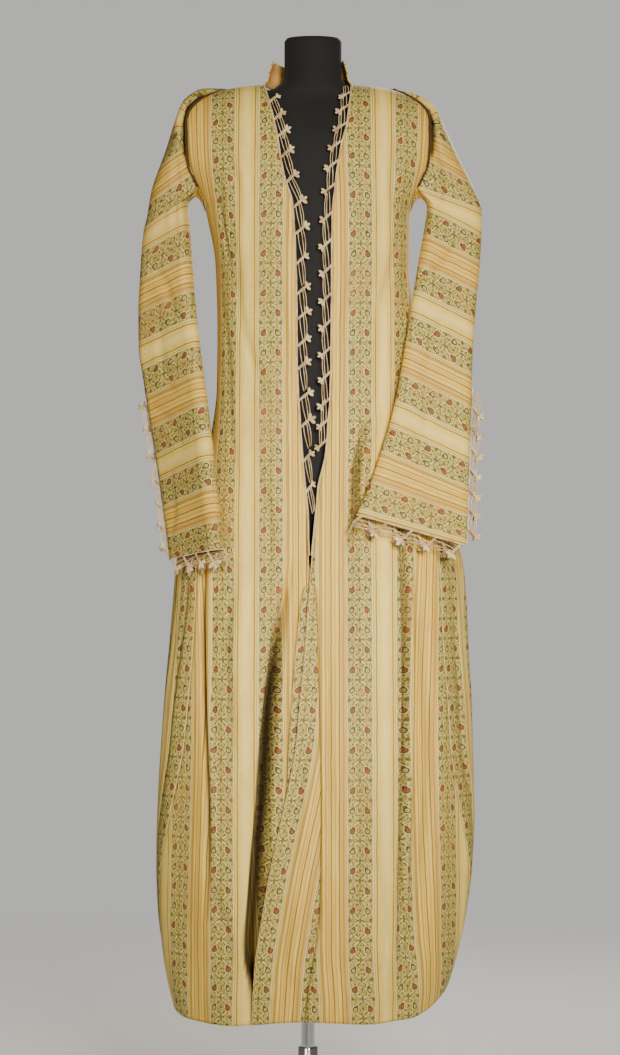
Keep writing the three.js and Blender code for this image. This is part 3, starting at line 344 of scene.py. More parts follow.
def put(name, points, faces, material, nodes=(), cloth=None, painted_shade=None):
    """Makes a smooth piece from points in millimetres. cloth holds each point's place in the flat cloth,
    and the last argument how far painted shade darkens it there."""
    mesh = bpy.data.meshes.new(name)
    mesh.from_pydata((np.asarray(points, float).reshape(-1, 3) / 1000).tolist(), [], faces)
    if cloth is not None:
        layer = mesh.uv_layers.new(name="cloth")
        corner = np.zeros(len(mesh.loops), int)
        mesh.loops.foreach_get("vertex_index", corner)
        layer.data.foreach_set("uv", np.asarray(cloth, np.float32).reshape(-1, 2)[corner].ravel())
    if painted_shade is not None:
        layer = mesh.attributes.new("painted_shade", "FLOAT", "POINT")
        layer.data.foreach_set("value", np.asarray(painted_shade, np.float32).ravel())
    mesh.materials.append(material)
    mesh.polygons.foreach_set("use_smooth", [True] * len(mesh.polygons))
    mesh.update()
    piece = bpy.data.objects.new(name, mesh)
    bpy.context.scene.collection.objects.link(piece)
    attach(piece, "root")
    if nodes:
        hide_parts(*nodes)
    return piece


jersey, main = new_material("black jersey", tint(16, 15, 16), 0.9, sheen=0.12)
spot = place_of()
main.inputs["Sheen Roughness"].default_value = 0.5
main.inputs["Sheen Tint"].default_value = tint(150, 150, 165)
ribs = noise(spot, (1400, 1400, 500), 2)
patches = noise(spot, (14, 14, 10), 3)
finish(main, blend(tint(9, 9, 10), tint(20, 19, 20), (patches * 0.6 + ribs * 0.4).fade(0.3, 0.7)),
       ribs * 0.2 + patches * 0.1 + 0.7, ribs, 0.00025, 0.6)

# Height, half-width, half-depth and roundness of its level rings.
FORM = [
    (790, 128, 76, 2.3), (804, 150, 92, 2.3), (880, 158, 100, 2.3), (980, 148, 98, 2.3), (1080, 121, 84, 2.3),
    (1160, 108, 76, 2.3), (1260, 120, 83, 2.3), (1360, 133, 90, 2.3), (1450, 144, 92, 2.3),
    (1520, 150, 86, 2.3), (1570, 154, 75, 2.3), (1605, 152, 58, 2.2), (1628, 132, 44, 2.1), (1642, 92, 40, 2),
    (1652, 60, 42, 2), (1668, 46, 40, 2), (1700, 46, 36, 2), (1725, 46, 36, 2), (1731, 42, 33, 2),
]
heights = np.r_[
    790, 791, 793, 797, np.arange(804, 1600, 9), np.arange(1602, 1672, 3.5), np.arange(1676, 1722, 6),
    1723, 1726, 1728.5, 1730, 1731]
STAND_X = 8  # the form and its stand are a little to the left of the frame's middle
AROUND = 96  # points round each ring
SEAM_SINK, SEAM_WIDE = 0.9, 2.2
round_it = np.linspace(0, 2 * math.pi, AROUND, endpoint=False)
rings = []
for z in heights:
    wide, deep, power = (curve(FORM, z, k) for k in (1, 2, 3))
    seam = sum(np.exp(-(((round_it - at + math.pi) % (2 * math.pi) - math.pi) * wide / SEAM_WIDE) ** 2)
               for at in (0, math.pi, math.pi / 2, 1.5 * math.pi))
    shrink = 1 - SEAM_SINK * seam / wide
    x = bend(np.cos(round_it), 2 / power) * wide * shrink
    y = bend(np.sin(round_it), 2 / power) * deep * shrink
    rings.append(np.stack([STAND_X + x, y, np.full(AROUND, z)], -1))
last = len(rings) * AROUND
caps = [tuple(reversed(range(AROUND))), tuple(range(last - AROUND, last))]
form = put("dress_form", rings, grid_faces(len(rings), AROUND, close=True) + caps, jersey, ["form"])


# ============================================================== the fronts of the robe
# Each front is one straight length of striped cloth from the shoulder to the hem. The stripes run down it.
# It is curved out at the armhole and slanted at the neck opening, and sewn to the back at the shoulder.
def smooth(value, start, end):
    """Rises softly from 0 to 1 as the value goes between two ends, in either order."""
    t = np.clip((np.asarray(value, float) - start) / (end - start), 0, 1)
    return t * t * (3 - 2 * t)


ARMPIT = 1454  # the height of the armpits; above it a row is this plus the shoulder dome's angle
SKIRT_TOP = 862  # where the two fronts first meet
GORE_TOP = 1250  # where the side gores start
ROUNDNESS = 2.4  # of the robe's level sections; 2 is an ellipse
DOME_SWELL = 0.8  # how square the shoulder dome is; 1 is round
LEAN_BACK = 8  # the shoulders lie this far behind the armpits
HEM_FOOT, HEM_TOP = 150, 300  # the rows between which the uneven hem evens out
# Level sections of the robe: height, reach to the right and left of x = 0, and to the front and back.
SECTIONS = [
    (150, -208, 204, 143, 142), (193, -218, 216, 150, 148), (225, -226, 228, 156, 153),
    (273, -234, 243, 163, 160), (353, -242, 260, 172, 168), (433, -245, 269, 176, 172),
    (513, -243, 271, 175, 172), (609, -237, 268, 169, 168), (673, -232, 266, 164, 163),
    (753, -224, 259, 157, 156), (833, -216, 253, 148, 147), (897, -210, 246, 139, 139),
    (977, -187, 216, 124, 123), (1041, -168, 193, 113, 111), (1105, -154, 178, 104, 102),
    (1171, -146, 171, 98, 97), (1267, -145, 169, 100, 99), (1369, -148, 162, 106, 103),
    (ARMPIT, -163, 163, 105, 104),
]
DOME = [(0, 163), (0.2, 181), (0.4, 205), (0.7, 226), (0.9, 235), (1, 240)]
SHOULDER = [(0, 1657), (70, 1657), (125, 1651), (160, 1642), (192, 1629), (215, 1612)]
HEM = [
    (-180, 196), (-135, 198), (-90, 192), (-60, 176), (-30, 172), (-3, 180), (22, 176), (45, 181), (60, 194),
    (75, 220), (92, 250), (115, 246), (145, 214), (180, 196),
]
# The long soft folds: angle at the top and foot, half-width in degrees, depth, highest and lowest point.
FOLDS = [
    (35.5, 34, 7, 9, 930, 230), (26, 24, 9, -5, 900, 260), (60, 57, 8, 4, 1000, 380),
    (-46, -52, 8, 5, 960, 260), (-25, -33, 8, -4, 860, 300), (88, 92, 11, 7, 900, 300),
    (-92, -96, 10, 6, 860, 240), (128, 122, 9, 13, 1010, 190), (152, 150, 8, 15, 1080, 190),
    (176, 180, 7, 9, 960, 190), (-155, -151, 8, 17, 1100, 190), (-131, -124, 10, 11, 980, 190),
]
# The deep fold of the right front: height, its place in x, half-width and depth.
VALLEY = [
    (170, -78, 12, 14), (214, -81, 14, 24), (291, -90, 16, 34), (384, -82, 18, 38), (508, -72, 18, 38),
    (601, -66, 17, 36), (694, -57, 15, 30), (787, -46, 12, 16), (875, -30, 9, 5), (910, -27, 8, 0),
]
RIGHT_EDGE = [
    (150, 12), (217, 17), (374, 27), (528, 23), (682, 16), (837, 7), (899, 0.5), (975, -1.5), (1017, -6),
    (1105, -13), (1215, -18.5), (1304, -19), (1406, -22), (1461, -26), (1499, -38), (1589, -54), (1640, -67),
    (1657, -71),
]
LEFT_EDGE = [
    (150, -85), (256, -82), (374, -66), (465, -48), (528, -34), (613, -18), (682, -12), (756, -4.5), (837, 1),
    (886, 5), (962, 12.5), (1017, 18), (1064, 29), (1115, 33), (1155, 36), (1271, 38), (1426, 39),
    (1499, 45.5), (1552, 54), (1583, 62), (1657, 71),
]
RIGHT_GORE_SEAM = [(150, -55), (295, -50), (451, -41), (559, -33), (682, -25), (837, -10), (862, -3)]
LEFT_GORE_SEAM = [(150, -5), (217, 1), (374, 19), (528, 20), (682, 17), (837, 13), (862, 9)]
# The side gores' seams: height, and the angle of the front and the back seam.
SIDE_GORE = [
    (150, 87, 150), (250, 84, 147), (383, 74, 138), (500, 61.5, 130), (614, 54, 125), (750, 52.5, 120),
    (897, 54, 114), (1041, 69, 107), (1171, 83, 98), (GORE_TOP, 88, 92.5),
]
ARMHOLE = [
    (0, 163), (3, 167), (8, 175), (20, 190), (38, 192), (50, 192), (60, 188), (68, 176), (80, 150), (90, 128),
]


def middle_x(z):
    """The x of the robe's middle: the stand's at the skirt, and 0 from the chest up."""
    return STAND_X * smooth(z, 1300, 1100)


def robe(angle, row, lift=0):
    """Points of the robe's surface at angles round it and rows up it, lifted along the section's normal."""
    angle, row, lift = np.broadcast_arrays(*(np.asarray(value, float) for value in (angle, row, lift)))
    sine, cosine = (bend(way(np.radians(angle)), 2 / ROUNDNESS) for way in (np.sin, np.cos))
    dome = np.radians(np.clip(row - ARMPIT, 0, 90))
    rise, shrink = np.sin(dome) ** DOME_SWELL, np.maximum(np.cos(dome), 0) ** DOME_SWELL
    front, back = SECTIONS[-1][3:]
    x = curve(DOME, rise) * sine + lift * sine * shrink
    y = LEAN_BACK * rise - (np.where(cosine > 0, front, back) + lift) * cosine * shrink
    top = curve(SHOULDER, np.abs(x)) + lift
    shoulders = np.stack([x, y, ARMPIT + (top - ARMPIT) * rise], -1)
    hem = curve(HEM, (angle + 540) % 360 - 180)
    from_hem = hem + (HEM_TOP - hem) * (row - HEM_FOOT) / (HEM_TOP - HEM_FOOT)
    z = np.where(row < HEM_TOP, from_hem, np.minimum(row, ARMPIT))
    middle = middle_x(z)
    reach = np.where(sine < 0, middle - curve(SECTIONS, z, 1), curve(SECTIONS, z, 2) - middle)
    depth = np.where(cosine > 0, curve(SECTIONS, z, 3), curve(SECTIONS, z, 4))
    lean = ROUNDNESS - 1
    out = unit(np.stack([bend(sine, lean) / reach, -bend(cosine, lean) / depth, 0 * z], -1))
    fold = 0
    for at_top, at_foot, half, deep, high, low in FOLDS:
        along = (z - low) / (high - low)
        centre = at_foot + (at_top - at_foot) * along
        off = np.abs((angle - centre + 540) % 360 - 180) / half
        fold = fold + deep * smooth(along, 1, 0.55) * smooth(along, -0.5, 0.15) * np.where(
            off < 2, np.cos(off * math.pi / 4) ** 2, 0)
    skirt = np.stack([middle + reach * sine, -depth * cosine, z], -1) + out * (lift - fold)[..., None]
    return np.where((row > ARMPIT)[..., None], shoulders, skirt)


def dome_rise(row):
    """How far up the shoulder dome a row lies, from 0 at the armpits to 1."""
    return np.sin(np.radians(np.clip(np.asarray(row, float) - ARMPIT, 0, 90))) ** DOME_SWELL


def front_angle(x, row):
    """The angle at which the robe's front has this x."""
    row, rise = np.asarray(row, float), dome_rise(row)
    middle = middle_x(row)
    off = np.where(row > ARMPIT, x, x - middle)
    sides = np.where(off < 0, middle - curve(SECTIONS, row, 1), curve(SECTIONS, row, 2) - middle)
    reach = np.where(row > ARMPIT, curve(DOME, rise), sides)
    return np.sign(off) * np.degrees(np.arcsin(np.minimum(1, np.abs(off) / reach) ** (ROUNDNESS / 2)))


def edge_x(table, row):
    """An edge's x at a row. On the dome the height depends on that x, so it is found in a few steps."""
    row, rise = np.asarray(row, float), dome_rise(row)
    x = curve(table, np.minimum(row, ARMPIT))
    for _ in range(4):
        height = ARMPIT + (curve(SHOULDER, np.abs(x)) - ARMPIT) * rise
        x = np.where(row > ARMPIT, curve(table, height), x)
    return x


def side_angle(row, column):
    """The angle of a front's (1) or back's (2) outer edge: the gore's seam, the side seam or the armhole."""
    row = np.asarray(row, float)
    hole = np.abs(front_angle(curve(ARMHOLE, row - ARMPIT), row))
    hole = hole if column == 1 else 180 - hole
    seam = np.where(row > GORE_TOP, 90, curve(SIDE_GORE, row, column))
    return np.where(row > ARMPIT, hole, seam)


def hump(off):
    """A soft hump, 1 at 0 and 0 from 1 outwards."""
    return np.where(np.abs(off) < 1, np.cos(off * math.pi / 2) ** 2, 0)


def right_front(angle, row):
    """The right front's surface, with the deep fold. It runs behind the left front below the opening."""
    flat = robe(angle, row)[..., 0]
    off = flat - curve(VALLEY, row)
    off = off / curve(VALLEY, row, 2) / np.where(off < 0, 0.62, 1.25)  # steeper towards the yellow band
    steep = (off + 0.1) / 0.6
    fold = (hump(off) + 0.5 * hump(steep)) * curve(VALLEY, row, 3)
    start = edge_x(LEFT_EDGE, row)
    lap = smooth(flat, start - 30, start - 4) * smooth(row, 1010, 880)
    points = robe(angle, row, -fold - 8 * lap)
    points[..., 0] -= 0.3 * fold  # the fold runs back under the yellow band
    return points


def outward(points):
    """The unit normals of a grid of points."""
    return unit(np.cross(np.gradient(points, axis=1), np.gradient(points, axis=0)))


def crease(points, cloth, creases):
    """Presses soft troughs into a grid, with a low ridge beside each, and gives each trough painted shade.
    A trough runs between two places on the flat cloth. It has a half-width, a depth, and where it hides some
    cloth, the width of that."""
    normal = outward(points)
    place, shift, hidden, painted_shade = cloth.copy(), 0, 0, 0 * cloth[..., 0]
    for (u0, v0), (u1, v1), half, deep, *tuck in creases:
        du, dv = u1 - u0, v1 - v0
        long = math.hypot(du, dv)
        along = ((place[..., 0] - u0) * du + (place[..., 1] - v0) * dv) / long ** 2
        off = ((place[..., 0] - u0) * dv - (place[..., 1] - v0) * du) / long / half * math.copysign(1, dv)
        off = off + 0.5 * np.sin(along * 7 + u0)  # it wavers a little on its way
        fade = np.sin(math.pi * np.clip(along, 0, 1)) ** 0.8
        trough, ridge = hump(off), hump(off - 1.4)
        shift = shift + deep * fade * (0.35 * ridge - trough)
        hidden = hidden + sum(tuck) * fade * (smooth(off, -1, 1) - (u0 < 0))
        painted_shade = np.maximum(painted_shade, min(deep / 16, 0.75) * fade * trough)
    cloth[..., 0] += hidden
    return points + normal * np.asarray(shift)[..., None], painted_shade


EDGE_GAP = 0.2  # between a panel's edge and the seam's middle
SEAM_ROLL, ROLL_WIDE, RIDGE_GAP = 1.1, 2.6, 0.35
PANEL_COLUMNS, SIDE_GORE_COLUMNS, FRONT_GORE_COLUMNS = 84, 72, 30


def panel_grid(surface, rows, low, high, columns, line, shift=0, sewn=(True, True), spread=None):
    """A panel between two edges, given as angles at a row: its points, and each point's place on the flat
    cloth, across and along the stripes. line is the angle where the stripes' count is shift. spread is the
    surface that the stripes are counted on, where it isn't the panel's own."""
    rows = np.asarray(rows, float)[:, None]
    first, last = low(rows), high(rows)
    per_degree = np.linalg.norm(surface(first + 1, rows) - surface(first, rows), axis=-1)
    gap = EDGE_GAP / np.maximum(per_degree, 0.5)
    first, last = first + gap, last - gap
    angles = first + (last - first) * np.linspace(0, 1, columns)[None]
    points = surface(angles, rows)
    arc = distance((spread or surface)(angles, rows), 1)
    start = np.array([np.interp(m, a, s) for m, a, s in zip(line(rows)[:, 0], angles, arc)])[:, None]
    rise = np.linalg.norm(np.diff(points, axis=0), axis=-1)
    climb = np.concatenate([0 * points[:1, :, 0], np.cumsum(rise * (rows[1:] > ARMPIT), axis=0)], axis=0)
    cloth = np.stack([arc - start + shift, np.where(rows > ARMPIT, ARMPIT + climb, points[..., 2])], -1)
    # A sewn edge rolls in over its seam, and the front and the back part a little on the shoulder's ridge.
    normal = outward(points)
    for sew, off in zip(sewn, (arc, arc[:, -1:] - arc)):
        if sew:
            points = points - normal * (SEAM_ROLL * np.exp(-(off / ROLL_WIDE) ** 2))[..., None]
    top = rows[:, 0] >= ARMPIT + 90
    points[top, :, 1] += np.where(np.abs(angles[top]) < 90, -RIDGE_GAP, RIDGE_GAP)
    return points, cloth


BODY_ROWS = np.r_[
    np.linspace(HEM_FOOT, HEM_TOP, 26), np.linspace(HEM_TOP + 7, ARMPIT, 160), ARMPIT + np.array([
        1, 2, 3, 5, 8, 12, 16, 20, 24, 28, 33, 38, 44, 50, 55, 60, 64, 67, 68, 68.2, 68.5, 69, 69.5, 70, 71,
        *range(72, 91, 2)]),
]
SKIRT_ROWS = np.r_[BODY_ROWS[BODY_ROWS < SKIRT_TOP], SKIRT_TOP]


def make_cloth():
    """The striped silk and cotton: plain yellow, floral and pinstriped bands. Distances are in millimetres
    from the middle of the yellow band, where all but the pinstripes are mirrored."""
    yellow_edge, floral_middle, pin_edge, half_repeat = 20, 39.5, 59.6, 83
    figure_high = 31  # along the cloth, from one figure of the floral band to the next
    made, main = new_material("striped cloth", tint(205, 176, 104), 0.6, sheen=0.06)
    main.inputs["Sheen Roughness"].default_value = 0.4
    main.inputs["Sheen Tint"].default_value = tint(240, 215, 150)
    main.inputs["Specular IOR Level"].default_value = 0.25
    map_node = made.node_tree.nodes.new("ShaderNodeUVMap")
    map_node.uv_map = "cloth"
    parts = made.node_tree.nodes.new("ShaderNodeSeparateXYZ")
    made.node_tree.links.new(map_node.outputs[0], parts.inputs[0])
    u, v = Field(parts.outputs[0]), Field(parts.outputs[1])
    flat = map_node.outputs[0]
    wobble = noise(flat, (0.05, 0.03, 0), 2) - 0.5
    u = u + wobble * 2.2
    off = u.wrap(-half_repeat, half_repeat).size()
    streak = noise(flat, (1.1, 0.015, 0), 3)
    grain = noise(flat, (0.9, 0.5, 0), 3)
    stain = noise(flat, (0.012, 0.007, 0), 3)

    def line(centre, half, soft=0.5, place=off):
        """1 on a thin line along the cloth at this distance from the yellow band's middle."""
        return (place - centre).size().fade(half + soft, half - soft)

    def beads(centre, half, pitch, phase=0.0, place=off):
        """1 on a row of small beads along the cloth."""
        return line(centre, half, 0.4, place) * (v / pitch + phase).wrap(-0.5, 0.5).size().fade(0.38, 0.22)

    # Plain yellow band, paler in the middle, with an olive chain line and a beaded border on each side.
    yellow = blend(tint(228, 190, 76), tint(246, 218, 112), streak.fade(0.3, 0.7))
    yellow = blend(yellow, tint(190, 148, 66), noise(flat, (0.05, 1.3, 0), 2).fade(0.52, 0.72) * 0.5)
    yellow = blend(yellow, tint(250, 230, 152), off.fade(9, 3) * 0.4)
    yellow = blend(yellow, tint(128, 98, 28), line(13.2, 0.9) * 0.6)
    yellow = blend(yellow, tint(96, 72, 22), beads(13.2, 0.9, 3.7) * 0.8)
    # Pinstripes: zigzag beads, a pink line, two olive beaded lines and a broad pinkish stripe on gold.
    p = u.wrap(0, 2 * half_repeat) - pin_edge
    ground = blend(tint(218, 178, 66), tint(242, 208, 98), streak.fade(0.32, 0.68))
    for centre, half, colour, strength in (
        (10.4, 0.7, tint(238, 212, 140), 0.6), (13.9, 1.0, tint(172, 96, 44), 0.65),
        (18.4, 0.7, tint(196, 136, 62), 0.65), (22.4, 0.8, tint(118, 84, 26), 0.7),
        (28.6, 0.8, tint(196, 138, 64), 0.65), (31.6, 0.6, tint(240, 214, 146), 0.6),
        (35.2, 0.8, tint(118, 84, 26), 0.7), (40.8, 3.6, tint(200, 140, 66), 0.5),
    ):
        ground = blend(ground, colour, line(centre, half, 0.5, p) * strength)
    for centre, phase, strength in (
        (4.9, 0.0, 0.9), (7.4, 0.5, 0.9), (22.4, 0.25, 0.7), (35.2, 0.0, 0.7), (41.6, 0.5, 0.6),
    ):
        ground = blend(ground, tint(104, 62, 22), beads(centre, 1.1, 3.9, phase, p) * strength)
    # Floral band: two columns of drops and rings, opposite each other, with vines, leaves and small diamonds
    # between.
    f = off - floral_middle + (noise(flat, (0.16, 0.16, 0), 2) - 0.5) * 3.4
    g = f.size()
    rise = v + (noise(flat, (0.16, 0.16, 9), 2) - 0.5) * 3.4
    cell = (rise / figure_high).work("FLOOR")
    kind = (cell + f.over(0)).work("MODULO", 2).size().over(0.5)
    half_figure = figure_high / 2
    down = rise.wrap(-half_figure, half_figure)
    high = (rise + half_figure).wrap(-half_figure, half_figure)
    sage = blend(tint(158, 142, 58), tint(202, 186, 96), grain.fade(0.36, 0.62))
    sage = blend(sage, tint(214, 196, 128), noise(flat, (0.45, 0.45, 0), 1).fade(0.54, 0.62) * 0.7)
    sage = blend(sage, tint(88, 78, 28), noise(flat, (0.40, 0.34, 0), 1).fade(0.49, 0.40) * 0.8)
    sway = (rise * (math.pi / figure_high)).work("SINE").size()
    stem = sway * 11.5 + 0.2
    vine = (g - stem).size().fade(1.25, 0.6)
    curl = (g - (sway * -5.5 + 17.0)).size().fade(1.1, 0.5) * 0.7
    sage = blend(sage, tint(226, 208, 140), vine.highest(curl))
    quarter = (rise / (figure_high / 4)).wrap(-0.5, 0.5)
    sprig = ((g - stem).size() - 3.1).length(quarter * 6.4).fade(1.75, 1.05)
    leaf = (g - 16.2).length(down * 0.75).fade(2.9, 1.9)
    diamond = (g / 2.9 + down.size() / 5.2).fade(1.15, 0.85)
    small = (g / 1.9 + high.size() / 3.4).fade(1.15, 0.8)
    sage = blend(sage, tint(82, 74, 26), leaf.highest(diamond).highest(small).highest(sprig) * 0.85)
    # A drop is a bulb with a curled tip: red-brown with a pale curl, or an olive ring with a pale heart.
    bulb = (g - 11.9).length(high + 1.4) - 4.7
    neck = (g - 9.9).length(high - 3.4) - 2.5
    drop = bulb.work("SMOOTH_MIN", neck, 2.2)
    sage = blend(sage, tint(222, 198, 130), drop.fade(1.7, 0.9))
    red = blend(tint(92, 42, 18), tint(138, 74, 36), grain.fade(0.4, 0.6))
    red = blend(red, tint(96, 68, 28), noise(flat, (0.03, 0.018, 0), 1).fade(0.44, 0.54) * 0.85)
    red = blend(red, tint(186, 136, 84), (drop + 2.6).size().fade(0.9, 0.3) * 0.55)
    ring = blend(tint(196, 180, 108), tint(74, 68, 22), drop.fade(-2.3, -1.5))
    ring = blend(ring, tint(84, 78, 30), drop.fade(-3.6, -4.2))
    drop = drop.fade(0.5, -0.3)
    sage = blend(sage, blend(red, ring, kind), drop)
    # The bands side by side, with a cream border line at each join.
    in_floral = off.fade(yellow_edge - 0.4, yellow_edge + 0.4)
    colour = blend(yellow, sage, in_floral)
    colour = blend(colour, ground, off.fade(pin_edge - 0.8, pin_edge))
    colour = blend(colour, tint(236, 212, 138), line(18.0, 1.9).highest(line(59.9, 1.7)) * 0.9)
    colour = blend(colour, tint(94, 66, 20), beads(17.3, 0.8, 3.1).highest(beads(60.6, 0.8, 3.1)) * 0.85)
    # Age has warmed it unevenly, and painted shade darkens the deep folds and creases.
    colour = blend(colour, tint(190, 140, 66), stain.fade(0.45, 0.75) * 0.3)
    shade_attribute = made.node_tree.nodes.new("ShaderNodeAttribute")
    shade_attribute.attribute_name = "painted_shade"
    colour = blend(colour, tint(46, 28, 8), Field(shade_attribute.outputs["Fac"]))
    # The relief: threads each way, raised figures and soft crumples.
    warp, weft = ((way / pitch).wrap(-0.5, 0.5).size() for way, pitch in ((u, 0.55), (v, 0.75)))
    figure = in_floral * off.fade(pin_edge, pin_edge - 0.8) * (drop * 0.5 + vine * 0.4)
    crumple = noise(place_of(), (16, 16, 9), 3)
    relief = warp * 0.10 + weft * 0.06 + streak * 0.35 + figure * 0.5 + crumple * 5.5
    finish(main, colour, grain * 0.16 + streak * 0.14 + 0.46, relief, 0.0006, 0.9)
    return made


cloth_look = make_cloth()


def hang(name, points, cloth, creases=(), extra_shade=0, skip=lambda r, c: False, thick=1.5):
    """A cloth piece: a thin sheet on a grid of points, with the same wall all over."""
    rows, columns = points.shape[:2]
    # Painted shade goes into the crease troughs, and the extra darkening passed in is painted shade too.
    points, painted_shade = crease(points, cloth, creases)
    piece = put("robe_" + name, points, grid_faces(rows, columns, skip), cloth_look, [name], cloth,
                np.maximum(painted_shade, extra_shade))
    wall = piece.modifiers.new("wall", "SOLIDIFY")
    wall.thickness = thick / 1000
    wall.offset = -1
    return piece


def front_seam(gore, edge, row):
    return front_angle(np.where(row <= SKIRT_TOP, curve(gore, row), edge_x(edge, row)), row)


# The middle of the yellow band hangs down each front at this x.
YELLOW_RIGHT, YELLOW_LEFT = -96, 119
points, cloth = panel_grid(
    right_front, BODY_ROWS, lambda r: -side_angle(r, 1), lambda r: front_seam(RIGHT_GORE_SEAM, RIGHT_EDGE, r),
    PANEL_COLUMNS, lambda r: front_angle(YELLOW_RIGHT, r), spread=robe)
# Painted shade darkens the deep fold, less towards the hem.
off = points[..., 0] - curve(VALLEY, BODY_ROWS)[:, None]
extra_shade = smooth(off, -13, -9) * smooth(off, 15, -4) * 0.92 * smooth(BODY_ROWS, 880, 700)[:, None]
extra_shade = extra_shade * (0.5 + 0.5 * smooth(BODY_ROWS, 180, 260))[:, None]
front_right = hang("front_right", points, cloth, [
    ((-40, 1440), (30, 1130), 13, 2.6), ((-60, 1330), (-10, 1010), 11, 2.2),
    ((20, 1080), (46, 860), 9, 2.4), ((-20, 900), (-34, 560), 14, 3.4), ((34, 700), (10, 300), 12, 2.4),
    ((-76, 960), (-67, 330), 9, 13.0, 8), ((-30, 1560), (-10, 1420), 10, 2.0),
    ((-50, 420), (-20, 240), 12, 2.8), ((-52, 1520), (-34, 1330), 8, 3.0), ((56, 1400), (66, 1150), 9, 1.8),
], extra_shade)
points, cloth = panel_grid(
    robe, BODY_ROWS, lambda r: front_seam(LEFT_GORE_SEAM, LEFT_EDGE, r), lambda r: side_angle(r, 1),
    PANEL_COLUMNS, lambda r: front_angle(YELLOW_LEFT, r))
front_left = hang("front_left", points, cloth, [
    ((30, 1440), (-30, 1120), 13, 2.4), ((40, 1300), (0, 1010), 11, 2.2), ((-60, 1000), (-40, 700), 12, 2.6),
    ((33, 1040), (30, 270), 8, 17, 16), ((70, 840), (72, 380), 12, 4.0), ((-30, 620), (-50, 280), 12, 2.8),
    ((24, 1560), (10, 1430), 10, 2.0), ((0, 520), (-6, 250), 12, 3.0), ((-90, 760), (-74, 420), 12, 2.6),
    ((-60, 1400), (-72, 1180), 9, 1.8), ((-26, 1130), (-62, 905), 9, 12),
])

# ============================================================== the front gores
# A long wedge is sewn to each front below the closing point, so that the skirt laps over in the middle.
right_seam, left_seam = (
    lambda r, table=table: front_angle(curve(table, r), r) for table in (RIGHT_GORE_SEAM, LEFT_GORE_SEAM))
right_edge, left_edge = (
    lambda r, table=table: front_angle(edge_x(table, r), r) for table in (RIGHT_EDGE, LEFT_EDGE))
points, cloth = panel_grid(
    right_front, SKIRT_ROWS, right_seam, right_edge, FRONT_GORE_COLUMNS, right_seam, shift=20,
    sewn=(True, False), spread=robe)
hang("front_gore_right", points, cloth, [
    ((28, 700), (46, 420), 7, 2.6), ((36, 420), (70, 240), 9, 3.0),
])
points, cloth = panel_grid(
    robe, SKIRT_ROWS, left_edge, left_seam, FRONT_GORE_COLUMNS, left_edge, shift=31, sewn=(False, True))
hang("front_gore_left", points, cloth, [
    ((50, 640), (62, 380), 8, 2.6), ((60, 400), (96, 210), 10, 3.2),
])

# ============================================================== the side gores
# A tall wedge on each side widens the skirt. It starts under the arm, between the front and the back.
GORE_ROWS = np.r_[BODY_ROWS[BODY_ROWS < GORE_TOP], GORE_TOP]
GORE_SHADE = 0.14  # painted shade, an even darkening all over
SIDE_GORES = [
    ("right", -1, (0.24, 1.09, 0.1815), [
        ((36, 900), (18, 420), 9, 4.0), ((-10, 1000), (-20, 520), 12, 5.0), ((-50, 760), (-70, 260), 12, 6.0),
        ((20, 420), (30, 230), 10, 3.5), ((-110, 560), (-120, 240), 11, 5.0),
    ]),
    ("left", 1, (0.241, 1.07, 0.1746), [
        ((-34, 880), (-20, 400), 9, 4.0), ((8, 980), (16, 500), 12, 5.0), ((48, 780), (66, 280), 12, 6.0),
        ((-24, 440), (-30, 240), 10, 3.5), ((104, 540), (118, 230), 11, 5.0),
    ]),
]
for name, side, cut, creases in SIDE_GORES:
    seams = [lambda r, k=k: side * curve(SIDE_GORE, r, k) for k in (1, 2)]
    points, cloth = panel_grid(
        robe, GORE_ROWS, *seams[::side], SIDE_GORE_COLUMNS, lambda r: seams[0](r) + 0.4 * side,
        shift=-58 * side)
    hang(f"side_gore_{name}", points, cloth, creases, GORE_SHADE)

# ============================================================== the backs
# Two lengths of the same cloth, sewn together down the middle, hang in deep soft folds.
BACK_NECK = [(68, 0), (70, 30), (74, 48), (80, 62), (85, 68), (90, 71)]


def back_inner(row):
    """The angle of the backs' inner edge: the centre seam, and the neckline above it."""
    row = np.asarray(row, float)
    return 180 - front_angle(curve(BACK_NECK, row - ARMPIT), np.maximum(row, ARMPIT))


BACKS = [
    ("right", -1, (0.228, 1.56, 0.2989), [
        ((140, 1500), (170, 1200), 12, 3.0), ((110, 1420), (130, 1080), 13, 3.6),
        ((160, 1060), (150, 700), 13, 4.0), ((120, 860), (114, 420), 14, 5.0),
        ((190, 900), (196, 480), 12, 4.4), ((150, 520), (160, 240), 12, 4.0),
        ((104, 1580), (112, 1400), 9, 2.4), ((206, 1380), (190, 1120), 10, 2.8),
    ]),
    ("left", 1, (0.243, 1.56, 0.3096), [
        ((60, 1480), (34, 1170), 12, 3.0), ((84, 1440), (64, 1120), 13, 3.4),
        ((40, 1020), (46, 660), 13, 4.2), ((76, 900), (80, 440), 14, 5.2), ((6, 860), (-4, 460), 12, 4.6),
        ((30, 560), (24, 250), 12, 4.0), ((88, 1590), (82, 1420), 9, 2.4),
        ((-12, 1360), (4, 1130), 10, 2.8),
    ]),
]
for name, side, cut, creases in BACKS:
    inner, outer = (lambda r: side * back_inner(r)), (lambda r: side * side_angle(r, 2))
    points, cloth = panel_grid(
        robe, BODY_ROWS, *(inner, outer)[::-side], PANEL_COLUMNS, inner, shift=96)
    hang(f"back_{name}", points, cloth, creases)

